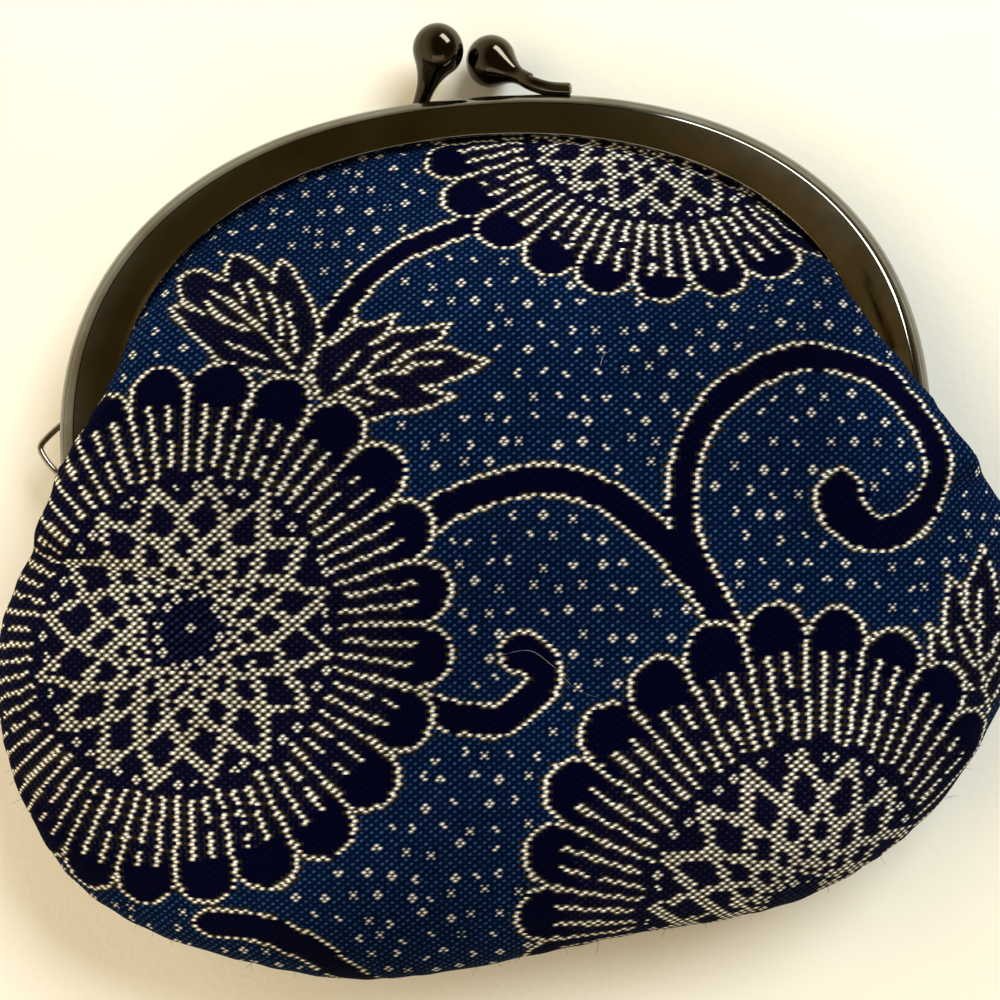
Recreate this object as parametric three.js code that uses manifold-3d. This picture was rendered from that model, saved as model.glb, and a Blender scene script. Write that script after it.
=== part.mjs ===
// Kiss lock coin purse: a two-part metal clasp frame that holds a pouch sewn from two cloth panels.
// Millimetres, +Z up. The purse lies on its back: +Y points to the clasp, +X to the right.
import * as THREE from 'three';
import { ParametricGeometry } from 'three/addons/geometries/ParametricGeometry.js';
import { mergeVertices } from 'three/addons/utils/BufferGeometryUtils.js';
import Module from 'manifold-3d';

const wasm = await Module();
wasm.setup();

// Clasp frame: each half is a pressed channel bent into an arch, open to the inside
const FRAME_HALF_WIDTH = 50.75;
const FRAME_RISE = 40.1;
const ARCH_EXPONENT = 2.28; // superellipse, a little squarer than an ellipse
const LEG_DROP = 1.6; // straight legs below the arch centre
const BAND_SIDE = 7.0; // width of the flat front band at the legs
const BAND_CROWN = 5.3; // and at the crown
const HALF_THICKNESS = 3.8; // one half, front to back
const HALVES_GAP = 0.3;
const SHEET = 0.8;
const SHOULDER_RADIUS = 1.5;
const MEETING_CHAMFER = 0.4;
const ARCH_STEPS = 42;
const SHOULDER_SEGMENTS = 3;
const HINGE_LIFT = 6.95; // height of the frame's middle plane at the arch centre
const CROWN_DROP = 3; // the frame leans back until its crown meets the surface
const LEAN = Math.asin(CROWN_DROP / FRAME_RISE);
const CHANNEL_MIDDLE = (HALVES_GAP + HALF_THICKNESS) / 2; // from the middle plane
const OUTER_FACE = HALVES_GAP / 2 + HALF_THICKNESS;

// Hinge at each foot: one knuckle on each half, and a plain pin through both
const KNUCKLE_RADIUS = 1.5;
const KNUCKLE_LENGTH = 1.4;
const KNUCKLE_Y = -3.4;
const FRONT_KNUCKLE_X = 49.4; // middle of the front half's knuckle
const BACK_KNUCKLE_X = 47.6;
const PIN_RADIUS = 0.7;
const PIN_CLEARANCE = 0.3;
const PIN_LENGTH = 4.2;
const KNUCKLE_OVERLAP = 0.4; // how far a knuckle's root reaches up into its leg
const ROUND_SIDES = 14;

// Kiss lock: a teardrop on each half, the left one standing and the right one on a rod along the crown
const BALL_RADIUS = 3.05;
const NECK_RADIUS = 0.95;
const NECK_STRAIGHT = 0.22; // share of the stem that stays as thin as the neck
const LEFT_FOOT = new THREE.Vector3(-6.7, 39.6, -2.05);
const LEFT_BALL = new THREE.Vector3(-3.2, 46.4, 1.8);
const RIGHT_TAIL = new THREE.Vector3(7.3, 41.7, 1.75);
const RIGHT_BALL = new THREE.Vector3(3.05, 45.45, -0.4);
const ROD_RADIUS = 0.85;
const ROD_STEPS = 8;
const ROD_ROUTE = [
  { x: 12.3, y: 40.05, z: 2.05 },
  { x: 9.6, y: 40.45, z: 2.05 },
  { x: 7.4, y: 41.45, z: 1.85 },
  { x: 6.0, y: 42.9, z: 1.1 },
];
const TEARDROP_ROWS = 9;

// Wire loop sprung into two holes in the left leg of the back half
const WIRE_RADIUS = 0.375;
const WIRE_SIDES = 8;
const WIRE_STEPS = 20;
const LOOP_HOLE_RADIUS = 0.95;
const LOOP_DEPTH = -2.05; // from the frame's middle plane
const LOOP_ROUTE = [
  { x: -49.6, y: 6.6 },
  { x: -50.9, y: 6.1 },
  { x: -52.4, y: 5.2 },
  { x: -53.9, y: 3.95 },
  { x: -54.55, y: 3.1 },
  { x: -54.3, y: 2.1 },
  { x: -53.4, y: 0.65 },
  { x: -52.4, y: -0.35 },
  { x: -51.2, y: -0.45 },
  { x: -49.6, y: -0.3 },
];
const LOOP_HOLES_Y = [6.35, -0.36];
const LOOP_HOLE_LENGTH = 1.6;

// Cloth panels, given by the middle of the wall
const CLOTH = 1.2;
const SEAM_HEIGHT = 7;
const SEAM_GAP = 0.3;
// Side seam from the left hinge round the bottom, which hangs lower on the left, to the right hinge
const SEAM_ROUTE = [
  { x: -49.15, y: 0 },
  { x: -50.4, y: -3.3 },
  { x: -52.3, y: -7 },
  { x: -56, y: -12.6 },
  { x: -59, y: -20 },
  { x: -59.4, y: -29 },
  { x: -57.4, y: -38.2 },
  { x: -52.6, y: -47.2 },
  { x: -44.6, y: -53.6 },
  { x: -33.5, y: -58.2 },
  { x: -22, y: -61.1 },
  { x: -11, y: -61.2 },
  { x: 0.5, y: -59.9 },
  { x: 11.5, y: -58.5 },
  { x: 22, y: -57.7 },
  { x: 32, y: -55.7 },
  { x: 41.5, y: -51.1 },
  { x: 49.2, y: -44.6 },
  { x: 55.4, y: -35.6 },
  { x: 58.9, y: -26.5 },
  { x: 59.3, y: -18.5 },
  { x: 56.6, y: -11.4 },
  { x: 52.9, y: -6.3 },
  { x: 50.7, y: -3 },
  { x: 49.15, y: 0 },
];
const TOP_OF_DOME = new THREE.Vector3(0, -22, 19.4);
const REST_OF_BACK = new THREE.Vector3(0, -22, CLOTH / 2);
const CHANNEL_INSET = 1.6; // the cloth's edge inside the channel, from the arch's outer line
const LIP_CLEARANCE = 1.0; // from the channel's lip to the middle of the cloth
const CHANNEL_RISE = 0.9; // how far the cloth has lifted once it is out of the channel
const LEAVE_CHANNEL_Y = [9, 4]; // the cloth comes out of the channel between these
const SEAM_STARTS_Y = [-5.8, -10]; // and reaches the side seam between these
const SEAM_UPRIGHT = 0.8; // upright stretch of each panel at the seam
const DOME_FULLNESS = 2.6; // superellipse of the dome at the seam and the legs
const DOME_SLOPE = 2; // power of its easier rise from the crown
const EASY_RISE_Y = [38, 6];
const EVEN_SHARE = 0.8; // from here to the middle the dome is the same all round
const BACK_ROUNDNESS = 1.5; // width of the back's round edge for each millimetre of its height
const PANEL_SLICES = 80;
const HINGE_CROWDING = 0.15; // draws the slices together beside the hinges
const DOME_SHARES = [0.015, 0.05, 0.11, 0.19, 0.29, 0.41, 0.55, 0.7, 0.85];
const CURL_SHARES = [0.04, 0.16, 0.36, 0.64, 1];
const FLAT_SHARES = [0.5];

// Bulge of each panel over the frame's legs: it grows from its left or right start down to the
// hinge, and the cloth clears the lip in the rise above that. Heights are from the frame's outer face
const FRONT_BULGE = { side: 1, left: 17, right: 18, rise: 9, reach: 1.8, overLip: 0.9, height: 1.5 };
const BACK_BULGE = { side: -1, left: 6, right: 6, rise: 9, reach: 1.8, overLip: 0.9, height: 1.65 };

// Creases that run from the hinges into the front panel
const CREASES = [
  { angle: 0.2, width: 0.09, depth: 0.7, from: 0.08, to: 0.36 },
  { angle: -0.22, width: 0.1, depth: 0.6, from: 0.05, to: 0.28 },
  { angle: Math.PI - 0.18, width: 0.09, depth: 0.6, from: 0.08, to: 0.34 },
  { angle: Math.PI + 0.22, width: 0.1, depth: 0.6, from: 0.05, to: 0.28 },
];

const lerp = THREE.MathUtils.lerp;
const clamp01 = (value) => THREE.MathUtils.clamp(value, 0, 1);

// Weight that goes smoothly from 0 at start to 1 at end, in either direction
function ramp(value, start, end) {
  const share = clamp01((value - start) / (end - start));
  return share * share * (3 - 2 * share);
}

const signedPower = (value, power) => Math.sign(value) * Math.abs(value) ** power;

// Keeps positions only, joins equal corners and drops triangles that have no area
function weld(geometry) {
  geometry.deleteAttribute('normal');
  geometry.deleteAttribute('uv');
  const welded = mergeVertices(geometry, 1e-4);
  const corners = welded.index.array;
  const kept = [];
  for (let i = 0; i < corners.length; i += 3) {
    const [a, b, c] = [corners[i], corners[i + 1], corners[i + 2]];
    if (a !== b && b !== c && c !== a) kept.push(a, b, c);
  }
  welded.setIndex(kept);
  return welded;
}

function toSolid(geometry) {
  const welded = weld(geometry);
  return new wasm.Manifold(new wasm.Mesh({
    numProp: 3,
    vertProperties: new Float32Array(welded.attributes.position.array),
    triVerts: new Uint32Array(welded.index.array),
  }));
}

function toGeometry(solid) {
  const mesh = solid.getMesh();
  const geometry = new THREE.BufferGeometry();
  geometry.setAttribute('position', new THREE.Float32BufferAttribute(mesh.vertProperties, 3));
  geometry.setIndex(Array.from(mesh.triVerts));
  geometry.computeVertexNormals();
  return geometry;
}

// Outer line of the arch: place, inward direction and band width. Angles run from the right
// foot over the crown to the left foot, and a little past both for the straight legs
function archAt(angle) {
  const onLeg = angle < 0 || angle > Math.PI;
  const below = onLeg ? Math.min(angle, Math.PI - angle) * FRAME_RISE : 0;
  const turn = THREE.MathUtils.clamp(angle, 0, Math.PI);
  const x = FRAME_HALF_WIDTH * signedPower(Math.cos(turn), 2 / ARCH_EXPONENT);
  const y = FRAME_RISE * Math.abs(Math.sin(turn)) ** (2 / ARCH_EXPONENT);
  const slopeX = signedPower(x / FRAME_HALF_WIDTH, ARCH_EXPONENT - 1) / FRAME_HALF_WIDTH;
  const slopeY = (y / FRAME_RISE) ** (ARCH_EXPONENT - 1) / FRAME_RISE;
  const inward = new THREE.Vector2(-slopeX, -slopeY).normalize();
  const band = lerp(BAND_CROWN, BAND_SIDE, Math.abs(Math.cos(turn)));
  return { place: new THREE.Vector2(x, y + below), inward, band };
}

const insetFrom = (arch, inset) => arch.place.clone().addScaledVector(arch.inward, inset);

// Channel section: x runs inwards from the outer line, y away from the middle plane
function channelSection(side) {
  const inner = side * HALVES_GAP / 2;
  const outer = side * OUTER_FACE;
  const wall = side * SHEET;
  const section = new THREE.Shape();
  section.moveTo(BAND_SIDE, inner);
  section.lineTo(MEETING_CHAMFER, inner);
  section.lineTo(0, inner + side * MEETING_CHAMFER);
  section.lineTo(0, outer - side * SHOULDER_RADIUS);
  section.quadraticCurveTo(0, outer, SHOULDER_RADIUS, outer);
  section.lineTo(BAND_SIDE, outer);
  section.lineTo(BAND_SIDE, outer - wall);
  section.lineTo(SHEET, outer - wall);
  section.lineTo(SHEET, inner + wall);
  section.lineTo(BAND_SIDE, inner + wall);
  section.closePath();
  return section;
}

// A straight bar of the channel, bent round the arch
function channelArch(side) {
  const bar = new THREE.ExtrudeGeometry(channelSection(side), {
    depth: 1,
    steps: ARCH_STEPS,
    bevelEnabled: false,
    curveSegments: SHOULDER_SEGMENTS,
  });
  const legAngle = LEG_DROP / FRAME_RISE;
  const position = bar.attributes.position;
  for (let i = 0; i < position.count; i += 1) {
    const arch = archAt(lerp(-legAngle, Math.PI + legAngle, position.getZ(i)));
    const inset = position.getX(i) * arch.band / BAND_SIDE;
    const place = insetFrom(arch, inset);
    position.setXYZ(i, place.x, place.y, position.getY(i));
  }
  return toSolid(bar);
}

function rodAlongX(radius, length, x, y, z) {
  const rod = new THREE.CylinderGeometry(radius, radius, length, ROUND_SIDES);
  rod.rotateZ(Math.PI / 2);
  rod.translate(x, y, z);
  return rod;
}

// Hinge knuckle under one foot, with its root in the leg's inner wall
function knuckle(side, x) {
  const rootTop = -LEG_DROP + KNUCKLE_OVERLAP;
  const rootHeight = rootTop - KNUCKLE_Y;
  const rootDepth = KNUCKLE_RADIUS - HALVES_GAP / 2;
  const root = new THREE.BoxGeometry(KNUCKLE_LENGTH, rootHeight, rootDepth);
  root.translate(x, rootTop - rootHeight / 2, side * (HALVES_GAP + rootDepth) / 2);
  const barrel = rodAlongX(KNUCKLE_RADIUS, KNUCKLE_LENGTH, x, KNUCKLE_Y, 0);
  return toSolid(barrel).add(toSolid(root));
}

function pinHole(x) {
  const radius = PIN_RADIUS + PIN_CLEARANCE;
  return toSolid(rodAlongX(radius, KNUCKLE_LENGTH * 2, x, KNUCKLE_Y, 0));
}

// Turned teardrop from its thin foot to the top of its ball
function teardrop(foot, ball) {
  const axis = ball.clone().sub(foot);
  const stem = axis.length();
  const profile = [new THREE.Vector2(0, 0), new THREE.Vector2(NECK_RADIUS, 0)];
  const tangentShare = 1 - BALL_RADIUS / stem * 0.35;
  for (let row = 1; row <= TEARDROP_ROWS; row += 1) {
    const share = row / TEARDROP_ROWS;
    const swell = ramp(share, NECK_STRAIGHT, 1.08);
    profile.push(new THREE.Vector2(lerp(NECK_RADIUS, BALL_RADIUS, swell), stem * share * tangentShare));
  }
  const startTurn = Math.asin((tangentShare - 1) * stem / BALL_RADIUS);
  for (let row = 1; row < TEARDROP_ROWS; row += 1) {
    const turn = lerp(startTurn, Math.PI / 2, row / TEARDROP_ROWS);
    profile.push(new THREE.Vector2(BALL_RADIUS * Math.cos(turn), stem + BALL_RADIUS * Math.sin(turn)));
  }
  profile.push(new THREE.Vector2(0, stem + BALL_RADIUS));
  const turned = new THREE.LatheGeometry(profile, ROUND_SIDES);
  const upright = new THREE.Vector3(0, 1, 0);
  turned.applyQuaternion(new THREE.Quaternion().setFromUnitVectors(upright, axis.normalize()));
  turned.translate(foot.x, foot.y, foot.z);
  return toSolid(turned);
}

function roundWire(radius, sides, route, steps) {
  const section = new THREE.Shape();
  for (let i = 0; i <= sides; i += 1) {
    const turn = i / sides * Math.PI * 2;
    const point = [radius * Math.cos(turn), radius * Math.sin(turn)];
    if (i === 0) section.moveTo(...point);
    else section.lineTo(...point);
  }
  const points = route.map(({ x, y, z }) => new THREE.Vector3(x, y, z));
  const extrudePath = new THREE.CatmullRomCurve3(points);
  return new THREE.ExtrudeGeometry(section, { steps, extrudePath, bevelEnabled: false });
}

function frontFrame() {
  let half = channelArch(1);
  half = half.add(toSolid(roundWire(ROD_RADIUS, ROUND_SIDES, ROD_ROUTE, ROD_STEPS)));
  half = half.add(teardrop(RIGHT_TAIL, RIGHT_BALL));
  for (const x of [-FRONT_KNUCKLE_X, FRONT_KNUCKLE_X]) {
    half = half.add(knuckle(1, x)).subtract(pinHole(x));
  }
  return toGeometry(half);
}

function backFrame() {
  let half = channelArch(-1);
  half = half.add(teardrop(LEFT_FOOT, LEFT_BALL));
  for (const x of [-BACK_KNUCKLE_X, BACK_KNUCKLE_X]) {
    half = half.add(knuckle(-1, x)).subtract(pinHole(x));
  }
  const webX = -FRAME_HALF_WIDTH + SHEET / 2;
  for (const y of LOOP_HOLES_Y) {
    half = half.subtract(toSolid(rodAlongX(LOOP_HOLE_RADIUS, LOOP_HOLE_LENGTH, webX, y, LOOP_DEPTH)));
  }
  return toGeometry(half);
}

function sideLoop() {
  const route = LOOP_ROUTE.map(({ x, y }) => ({ x, y, z: LOOP_DEPTH }));
  return weld(roundWire(WIRE_RADIUS, WIRE_SIDES, route, WIRE_STEPS));
}

function hingePin(x) {
  return rodAlongX(PIN_RADIUS, PIN_LENGTH, x, KNUCKLE_Y, 0);
}

const seamCurve = new THREE.SplineCurve(SEAM_ROUTE.map(({ x, y }) => new THREE.Vector2(x, y)));

// Height of a point of the leaning frame, z being measured from its middle plane
const frameHeight = (y, z) => HINGE_LIFT - y * Math.sin(LEAN) + z * Math.cos(LEAN);

// A panel's edge, the place beside the lip and the reach of its bulge, along the arch
function archRim(angle, { side, left, right, rise, reach }) {
  const arch = archAt(angle);
  const y = arch.place.y;
  const startY = arch.place.x < 0 ? left : right;
  const lipInset = arch.band + LIP_CLEARANCE;
  const edge = insetFrom(arch, lerp(CHANNEL_INSET, lipInset, ramp(y, ...LEAVE_CHANNEL_Y)));
  const lip = insetFrom(arch, lipInset);
  return {
    edge,
    lip,
    bulge: insetFrom(arch, lerp(lipInset, reach, clamp01(1 - y / startY) ** 2)),
    edgeHeight: frameHeight(edge.y, side * CHANNEL_MIDDLE),
    lipHeight: frameHeight(lip.y, side * CHANNEL_MIDDLE),
    overLeg: ramp(y, startY + rise, startY),
    sewn: 0,
    full: ramp(y, ...EASY_RISE_Y),
    y,
  };
}

// The same along the side seam, which starts below the hinges
function seamRim(angle, { side }) {
  const seam = seamCurve.getPointAt(angle / Math.PI - 1);
  const insideX = Math.sign(seam.x) * (FRAME_HALF_WIDTH - BAND_SIDE - LIP_CLEARANCE);
  const sewn = ramp(seam.y, ...SEAM_STARTS_Y);
  const edge = new THREE.Vector2(insideX, seam.y).lerp(seam, sewn);
  const channelHeight = frameHeight(seam.y, side * CHANNEL_MIDDLE);
  const edgeHeight = lerp(channelHeight, SEAM_HEIGHT + side * SEAM_GAP / 2, sewn);
  return {
    edge,
    lip: edge,
    bulge: seam,
    edgeHeight,
    lipHeight: edgeHeight,
    overLeg: 1,
    sewn,
    full: 1,
    y: seam.y,
  };
}

// Middle of the wall from a panel's edge, past the lip and over the leg, to the end of its bulge
function startOfColumn(angle, bulge) {
  const rim = angle <= Math.PI ? archRim(angle, bulge) : seamRim(angle, bulge);
  const { side } = bulge;
  const face = frameHeight(rim.y, side * OUTER_FACE);
  const height = (inChannel, onLeg, atSeam) => {
    const loose = lerp(rim.lipHeight + side * inChannel, face + side * onLeg, rim.overLeg);
    return lerp(loose, rim.lipHeight + side * atSeam, rim.sewn);
  };
  const beside = rim.lipHeight + side * lerp(CHANNEL_RISE / 9, SEAM_UPRIGHT / 3, rim.sewn);
  const column = [
    new THREE.Vector3(rim.edge.x, rim.edge.y, rim.edgeHeight),
    new THREE.Vector3(rim.lip.x, rim.lip.y, beside),
    new THREE.Vector3(rim.lip.x, rim.lip.y, height(CHANNEL_RISE / 2, bulge.overLip, SEAM_UPRIGHT * 2 / 3)),
    new THREE.Vector3(rim.bulge.x, rim.bulge.y, height(CHANNEL_RISE, bulge.height, SEAM_UPRIGHT)),
  ];
  return { column, rim };
}

// How far the creases pull the front panel in at one angle and share of the way to the middle
function creaseDepth(angle, share) {
  let depth = 0;
  for (const crease of CREASES) {
    const turn = Math.atan2(Math.sin(angle - crease.angle), Math.cos(angle - crease.angle));
    const across = Math.exp(-((turn / crease.width) ** 2));
    const along = ramp(share, 0, crease.from) * ramp(share, crease.to, crease.from);
    depth += crease.depth * across * along;
  }
  return depth;
}

// Front panel: from the end of the bulge up to the top of the dome
function frontColumn(angle) {
  const { column, rim } = startOfColumn(angle, FRONT_BULGE);
  const start = column.at(-1);
  for (const share of DOME_SHARES) {
    const point = start.clone().lerp(TOP_OF_DOME, share);
    const easy = 1 - (1 - share) ** DOME_SLOPE;
    const round = (1 - (1 - share) ** DOME_FULLNESS) ** (1 / DOME_FULLNESS);
    const full = lerp(rim.full, 1, ramp(share, 0, EVEN_SHARE));
    point.z = lerp(start.z, TOP_OF_DOME.z, lerp(easy, round, full)) - creaseDepth(angle, share);
    column.push(point);
  }
  column.push(TOP_OF_DOME);
  return column;
}

// Back panel: from the end of the bulge round the curl to the flat that rests on the surface
function backColumn(angle) {
  const { column } = startOfColumn(angle, BACK_BULGE);
  const start = column.at(-1);
  const reach = Math.hypot(REST_OF_BACK.x - start.x, REST_OF_BACK.y - start.y);
  const curl = BACK_ROUNDNESS * (start.z - REST_OF_BACK.z);
  for (const share of CURL_SHARES) {
    const point = start.clone().lerp(REST_OF_BACK, curl * share / reach);
    point.z = lerp(start.z, REST_OF_BACK.z, Math.sqrt(1 - (1 - share) ** 2));
    column.push(point);
  }
  const flat = column.at(-1);
  for (const share of FLAT_SHARES) column.push(flat.clone().lerp(REST_OF_BACK, share));
  column.push(REST_OF_BACK);
  return column;
}

// Closed cloth wall: the columns stand side by side, and each point is moved half the
// thickness to either side
function panel(columnAt) {
  const columns = [];
  for (let i = 0; i < PANEL_SLICES; i += 1) {
    const share = i / PANEL_SLICES;
    columns.push(columnAt(2 * Math.PI * share - HINGE_CROWDING * Math.sin(4 * Math.PI * share)));
  }
  const last = columns[0].length - 1;
  const wrap = (i) => (i + PANEL_SLICES) % PANEL_SLICES;
  const layerPoint = (slice, row, offset) => {
    const point = columns[slice][row].clone();
    if (row === last) return point.add(new THREE.Vector3(0, 0, offset));
    const around = columns[wrap(slice + 1)][row].clone().sub(columns[wrap(slice - 1)][row]);
    const inwards = columns[slice][row + 1].clone().sub(columns[slice][Math.max(row - 1, 0)]);
    return point.addScaledVector(around.cross(inwards).normalize(), offset);
  };
  const stacks = 2 * last + 1;
  const surface = (u, v, target) => {
    const slice = wrap(Math.round(u * PANEL_SLICES));
    const stack = Math.round(v * stacks);
    const upper = stack > last;
    const row = upper ? stack - last - 1 : last - stack;
    target.copy(layerPoint(slice, row, upper ? CLOTH / 2 : -CLOTH / 2));
  };
  return weld(new ParametricGeometry(surface, PANEL_SLICES, stacks));
}

const GUNMETAL = new THREE.MeshStandardMaterial({ color: 0x2b2921, roughness: 0.25, metalness: 1 });
const STEEL_WIRE = new THREE.MeshStandardMaterial({ color: 0x4a453a, roughness: 0.3, metalness: 1 });
const INDIGO_CLOTH = new THREE.MeshStandardMaterial({ color: 0x142d5a, roughness: 0.9, metalness: 0 });

function named(name, geometry, material) {
  const mesh = new THREE.Mesh(geometry, material.clone());
  mesh.name = name;
  return mesh;
}

const pinX = (FRONT_KNUCKLE_X + BACK_KNUCKLE_X) / 2;
const frame = new THREE.Group();
frame.add(
  named('front_frame', frontFrame(), GUNMETAL),
  named('back_frame', backFrame(), GUNMETAL),
  named('left_hinge_pin', hingePin(-pinX), STEEL_WIRE),
  named('right_hinge_pin', hingePin(pinX), STEEL_WIRE),
  named('side_loop', sideLoop(), STEEL_WIRE),
);
frame.position.z = HINGE_LIFT;
frame.rotation.x = -LEAN;

const purse = new THREE.Group();
purse.add(
  frame,
  named('front_panel', panel(frontColumn), INDIGO_CLOTH),
  named('back_panel', panel(backColumn), INDIGO_CLOTH),
);

// The origin is on the surface, under the middle of the purse
purse.updateMatrixWorld(true);
const middle = new THREE.Box3().setFromObject(purse, true).getCenter(new THREE.Vector3());
purse.position.set(-middle.x, -middle.y, 0);

export default purse;
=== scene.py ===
"""Looks of a kiss lock coin purse: patterned cloth, a dark clasp frame and a plain studio.

Shapes are worked out in millimetres in the purse's own frame (X right, Y to the clasp, Z up,
origin under the middle of the clasp's arch) and are turned into metres as each mesh is made.
"""
import math

import bpy
import numpy as np
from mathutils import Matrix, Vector


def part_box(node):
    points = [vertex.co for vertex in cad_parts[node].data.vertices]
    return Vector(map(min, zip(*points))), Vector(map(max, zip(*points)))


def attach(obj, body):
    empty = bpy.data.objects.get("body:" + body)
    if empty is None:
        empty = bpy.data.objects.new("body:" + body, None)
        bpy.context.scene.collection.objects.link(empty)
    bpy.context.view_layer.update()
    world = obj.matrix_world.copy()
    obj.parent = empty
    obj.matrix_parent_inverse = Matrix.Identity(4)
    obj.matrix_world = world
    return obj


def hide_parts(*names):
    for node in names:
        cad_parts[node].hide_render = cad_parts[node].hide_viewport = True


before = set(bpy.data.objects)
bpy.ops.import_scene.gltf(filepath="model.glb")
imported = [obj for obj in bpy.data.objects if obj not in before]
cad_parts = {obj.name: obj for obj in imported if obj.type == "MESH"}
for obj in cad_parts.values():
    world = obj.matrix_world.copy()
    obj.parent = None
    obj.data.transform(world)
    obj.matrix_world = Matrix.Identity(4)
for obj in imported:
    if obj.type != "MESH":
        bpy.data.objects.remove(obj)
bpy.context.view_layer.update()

bl_info = {
    "name": "Kiss Lock Coin Purse",
    "version": (1, 0, 0),
    "blender": (4, 5, 0),
    "location": "View3D > Sidebar > Purse",
    "description": "Builds the cloth, the clasp frame and the studio of a coin purse",
    "category": "Object",
}

MM = 0.001

# Stage: the camera's place over the purse, the floor in metres, lights and the room from horizon to overhead
CAMERA_OVER = (-0.1, -7.8)
SENSOR = 36.0
NEAREST = 0.01
FLOOR_HALF = 0.9
WINDOW = {"bearing": 47.0, "height": 40.0, "distance": 0.75, "size": (0.5, 0.24), "colour": (0.82, 0.92, 1.0)}
LAMP = {"bearing": 168.0, "height": 32.0, "distance": 0.8, "size": (1.1, 0.7), "colour": (1.0, 0.85, 0.62)}
FILL = {"bearing": 270.0, "height": 38.0, "distance": 0.8, "size": (0.8, 0.3), "colour": (1.0, 0.95, 0.88)}
ROOM_TILT = (0.5, 0.0, 1.0)
ROOM_LOW = (0.05, (0.95, 0.82, 0.6, 1.0))
ROOM_MIDDLE = (0.35, (0.66, 0.57, 0.43, 1.0))
ROOM_HIGH = (0.76, (0.114, 0.073, 0.022, 1.0))

# Clasp frame, as in the solids
FRAME_HALF_WIDTH = 50.75
FRAME_RISE = 40.1
ARCH_EXPONENT = 2.28
LEG_DROP = 1.6
BAND_SIDE = 7.0
BAND_CROWN = 5.3
HALF_THICKNESS = 3.8
HALVES_GAP = 0.3
SHEET = 0.8
HINGE_LIFT = 6.95
CROWN_DROP = 3.0
LEAN = math.asin(CROWN_DROP / FRAME_RISE)
CHANNEL_MIDDLE = (HALVES_GAP + HALF_THICKNESS) / 2
OUTER_FACE = HALVES_GAP / 2 + HALF_THICKNESS
KNUCKLE_RADIUS = 1.5
KNUCKLE_LENGTH = 1.4
KNUCKLE_Y = -3.4
FRONT_KNUCKLE_X = 49.4
BACK_KNUCKLE_X = 47.6
PIN_RADIUS = 0.7
PIN_LENGTH = 4.2
PIN_HEAD = 0.25
PIN_CLEARANCE = 0.3
KNUCKLE_RIM = 0.15
STRAP_HEIGHTS = (0.15, 1.35)
STRAP_IN_LEG = 0.4
STRAP_IN_KNUCKLE = 0.35

# Finer lines of the channel's section, from its outer line inwards
ARCH_STATIONS = 280
INNER_EDGE = [(0.45, 0.0), (0.2, 0.06), (0.05, 0.22), (0.0, 0.45)]
SHOULDER_STEPS = 20
SHOULDER_TURN = 0.3
SHOULDER_TILTS = (9, 23, 29)
CREASE_FLOOR = (0.04, 0.16)
CREASE_END = 0.2
BAND_STARTS = 0.28
HEM = 0.26

# Wear, a painted highlight, painted light and finishes of the metal
RUBBED_LIP = 0.1
# Painted highlight: pale metal on the left lip round this spot, standing in for a lamp's reflection on the
# rolled edge
PAINTED_HIGHLIGHT_SPOT = (-43.8, 22.3)
PAINTED_HIGHLIGHT_REACH = 7.0
# Painted light: the flat band turns paler towards the right, the window side, between these x places
PAINTED_BAND_LIGHT = 0.48
PAINTED_BAND_LIGHT_X = (8.0, 42.0)
STREAK_START = (43.7, 16.6)
STREAK_END = (46.3, 6.0)
STREAK_HALF = (0.3, 0.55)
SHARP_EDGE = 38
KNOB_DARKENS = (0.2, 0.9)
PLATE_SHINE = 0.08
PIN_STEEL = {"plate": (0.42, 0.4, 0.36), "tarnish": (0.2, 0.17, 0.12), "shine": 0.3}
BRIGHT_WIRE = {"plate": (0.5, 0.46, 0.38), "tarnish": (0.16, 0.12, 0.07), "shine": 0.12}

# Kiss lock knobs and side wire, as in the solids
BALL_RADIUS = 3.05
NECK_RADIUS = 0.95
BALL_JOIN = 38
FLANK_STARTS = 0.2
LEFT_FOOT = (-6.7, 39.6, -2.05)
LEFT_BALL = (-3.2, 46.4, 1.8)
RIGHT_TAIL = (7.3, 41.7, 1.75)
RIGHT_BALL = (3.05, 45.45, -0.4)
ROD_RADIUS = 0.85
ROD_ROUTE = [(12.3, 40.05, 2.05), (9.6, 40.45, 2.05), (7.4, 41.45, 1.85), (6.0, 42.9, 1.1)]
WIRE_RADIUS = 0.375
LOOP_DEPTH = -2.05
LOOP_ROUTE = [
    (-49.6, 6.6), (-50.9, 6.1), (-52.4, 5.2), (-53.9, 3.95), (-54.55, 3.1),
    (-54.3, 2.1), (-53.4, 0.65), (-52.4, -0.35), (-51.2, -0.45), (-49.6, -0.3),
]

# Cloth panels, as in the solids
CLOTH = 1.2
SEAM_HEIGHT = 7.0
SEAM_GAP = 0.3
SEAM_ROUTE = [
    (-49.15, 0.0), (-50.4, -3.3), (-52.3, -7.0), (-56.0, -12.6), (-59.0, -20.0), (-59.4, -29.0),
    (-57.4, -38.2), (-52.6, -47.2), (-44.6, -53.6), (-33.5, -58.2), (-22.0, -61.1), (-11.0, -61.2),
    (0.5, -59.9), (11.5, -58.5), (22.0, -57.7), (32.0, -55.7), (41.5, -51.1), (49.2, -44.6),
    (55.4, -35.6), (58.9, -26.5), (59.3, -18.5), (56.6, -11.4), (52.9, -6.3), (50.7, -3.0), (49.15, 0.0),
]
MIDDLE_Y = -22.0
DOME_TOP = 19.4
CHANNEL_INSET = 1.6
LIP_CLEARANCE = 1.0
CHANNEL_RISE = 0.9
LEAVE_CHANNEL_Y = (9.0, 4.0)
SEAM_STARTS_Y = (-5.8, -10.0)
SEAM_UPRIGHT = 0.8
DOME_FULLNESS = 2.6
DOME_SLOPE = 2.0
EASY_RISE_Y = (38.0, 6.0)
EVEN_SHARE = 0.8
BACK_ROUNDNESS = 1.5
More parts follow.
